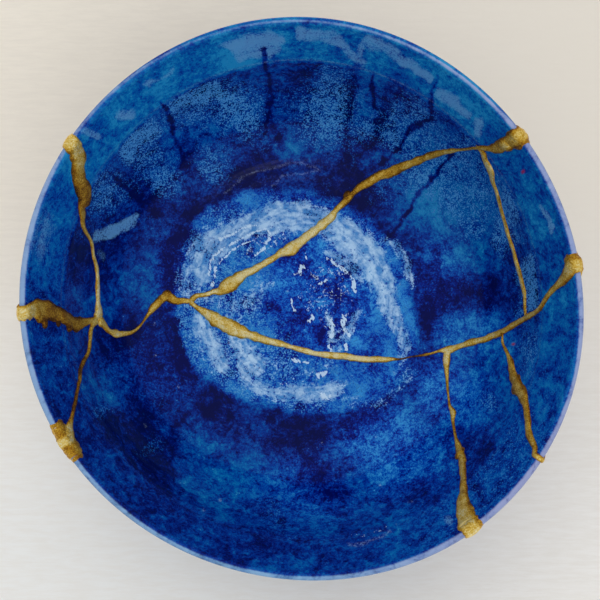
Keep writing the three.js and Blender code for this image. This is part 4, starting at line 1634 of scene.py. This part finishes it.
# %% The gold's recipe
def fill_gold(tree):
    place = Wire.node(tree, "ShaderNodeTexCoord", out="Object")
    shade, edge = map_values(tree, "shade", "edge")
    patch = grain(place, 2.4, 3.0, 0.6)
    dust = grain(place, 0.4, 2.0, 0.6)
    # Brown edges and pale crowns are partly painted shade and painted highlight.
    dark = shade * 0.85 + edge * 0.36 + patch * 0.9 + dust * 1.1 - 0.05
    colour = dark.ramp(
        (0.0, paint(255, 240, 180)),
        (0.22, paint(242, 208, 102)),
        (0.45, paint(214, 164, 40)),
        (0.7, paint(160, 106, 10)),
        (1.0, paint(76, 42, 2)),
    )
    surface(
        tree,
        {"Base Color": colour, "Roughness": 0.34 + dark * 0.15 + dust * 0.3},
        {"Metallic": 0.6, "IOR": 1.5},
        height=patch * 0.5 + dust * 0.5,
        depth=0.5,
    )


fill_gold(gold.node_tree)
print("nodes in the gold:", len(gold.node_tree.nodes))

# %% [markdown]
# ## Riding on the frame
#
# Each sherd stands for its packed sherd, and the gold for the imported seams. Nothing moves, so all
# of them ride on the one body. The helpers that held sections and points are cleared away first.

# %% Pieces on the body
for helper in (sheet_section, bead_section):
    bpy.data.objects.remove(helper)
for node, sherd in sherds.items():
    sherd.data.materials.clear()
    sherd.data.materials.append(glaze)
    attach(sherd, "root")
    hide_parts(node)
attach(gold_seams, "root")
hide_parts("gold_seams")

# %% [markdown]
# ## The table and the light
#
# The bowl stands on a pale painted board in soft daylight from a large window. A wide lamp stands
# for the window, another fills the other side, and a pale sky fills the rest. The two wide lamps
# don't show in the glaze, which would hide its colours under a veil. A small lamp that shows only
# there gives the faint glint by the well. The board is a plane with painted light on it: warm and
# brighter towards the window, cool and brighter towards the fill, and the faintest brush marks.

# %% A pale board
BOARD_HALF = 3.0


def pale_board():
    ways = ((-1, -1), (1, -1), (1, 1), (-1, 1))
    mesh = plain_mesh("board", [(x * BOARD_HALF, y * BOARD_HALF, 0) for x, y in ways], [(0, 1, 2, 3)])
    board = placed("board", mesh)
    paint_layer = empty_material("pale_board")
    tree = paint_layer.node_tree
    place = Wire.node(tree, "ShaderNodeTexCoord", out="Object")
    haze, rough = grain(place, 60, 3.0), grain(place, 3, 3.0)
    x, y, z = place.parts()
    brushed = grain(vector(tree, x * 0.15, y, z), 1.6, 4.0, 0.7, 0.3)
    # Painted light on the board: warm and brighter on the window's side, cool and brighter on the fill's
    # side.
    right = x.smooth(-0.06, 0.1)
    painted_window_light = right.blend(paint(240, 232, 218), paint(225, 218, 206))
    painted_fill_light = right.blend(paint(233, 233, 230), paint(242, 239, 234))
    colour = y.smooth(-0.09, 0.05).blend(painted_fill_light, painted_window_light)
    colour = (brushed.smooth(0.2, -0.2) * 0.3).blend(colour, paint(222, 214, 202))
    relief = haze + rough * 0.2 + brushed * 0.2
    surface(tree, {"Base Color": colour}, {"Roughness": 0.55}, height=relief, depth=0.25)
    mesh.materials.append(paint_layer)
    board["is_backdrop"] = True


pale_board()


# %% Daylight
def lamp(name, place, size, power, tint):
    """A lamp turned to the bowl: its place and size in metres and its power in watts."""
    data = bpy.data.lights.new(name, "AREA")
    data.shape = "RECTANGLE"
    data.size, data.size_y = size
    data.energy = power
    data.color = tint
    thing = placed(name, data)
    thing.location = place
    back = unit(np.array(place))
    thing.rotation_euler = turn_to(unit(np.cross((0, 1, 0), back)), back)
    return thing


window = lamp("window", (-0.4, 1.3, 1.5), (2.6, 1.8), 27, (1.0, 0.98, 0.95))
fill = lamp("fill", (0.7, -1.3, 1.5), (2.6, 2.2), 23, (0.97, 0.98, 1.0))
for wide in (window, fill):
    wide.visible_glossy = False
glint = lamp("glint", (0.09, -0.3, 0.85), (0.05, 0.03), 0.12, (0.94, 0.96, 1.0))
glint.visible_diffuse = False
sky = bpy.data.worlds.new("pale_sky")
sky.use_nodes = True
for label, value in {"Color": (0.94, 0.97, 1.0, 1.0), "Strength": 0.42}.items():
    sky.node_tree.nodes["Background"].inputs[label].default_value = value
scene.world = sky
scene.view_settings.view_transform = "Standard"

# %% Sizes of the model
made_low, made_high = (list(corner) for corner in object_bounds())
print("box of the model in mm:", [round(v / MM, 2) for v in (*made_low, *made_high)])
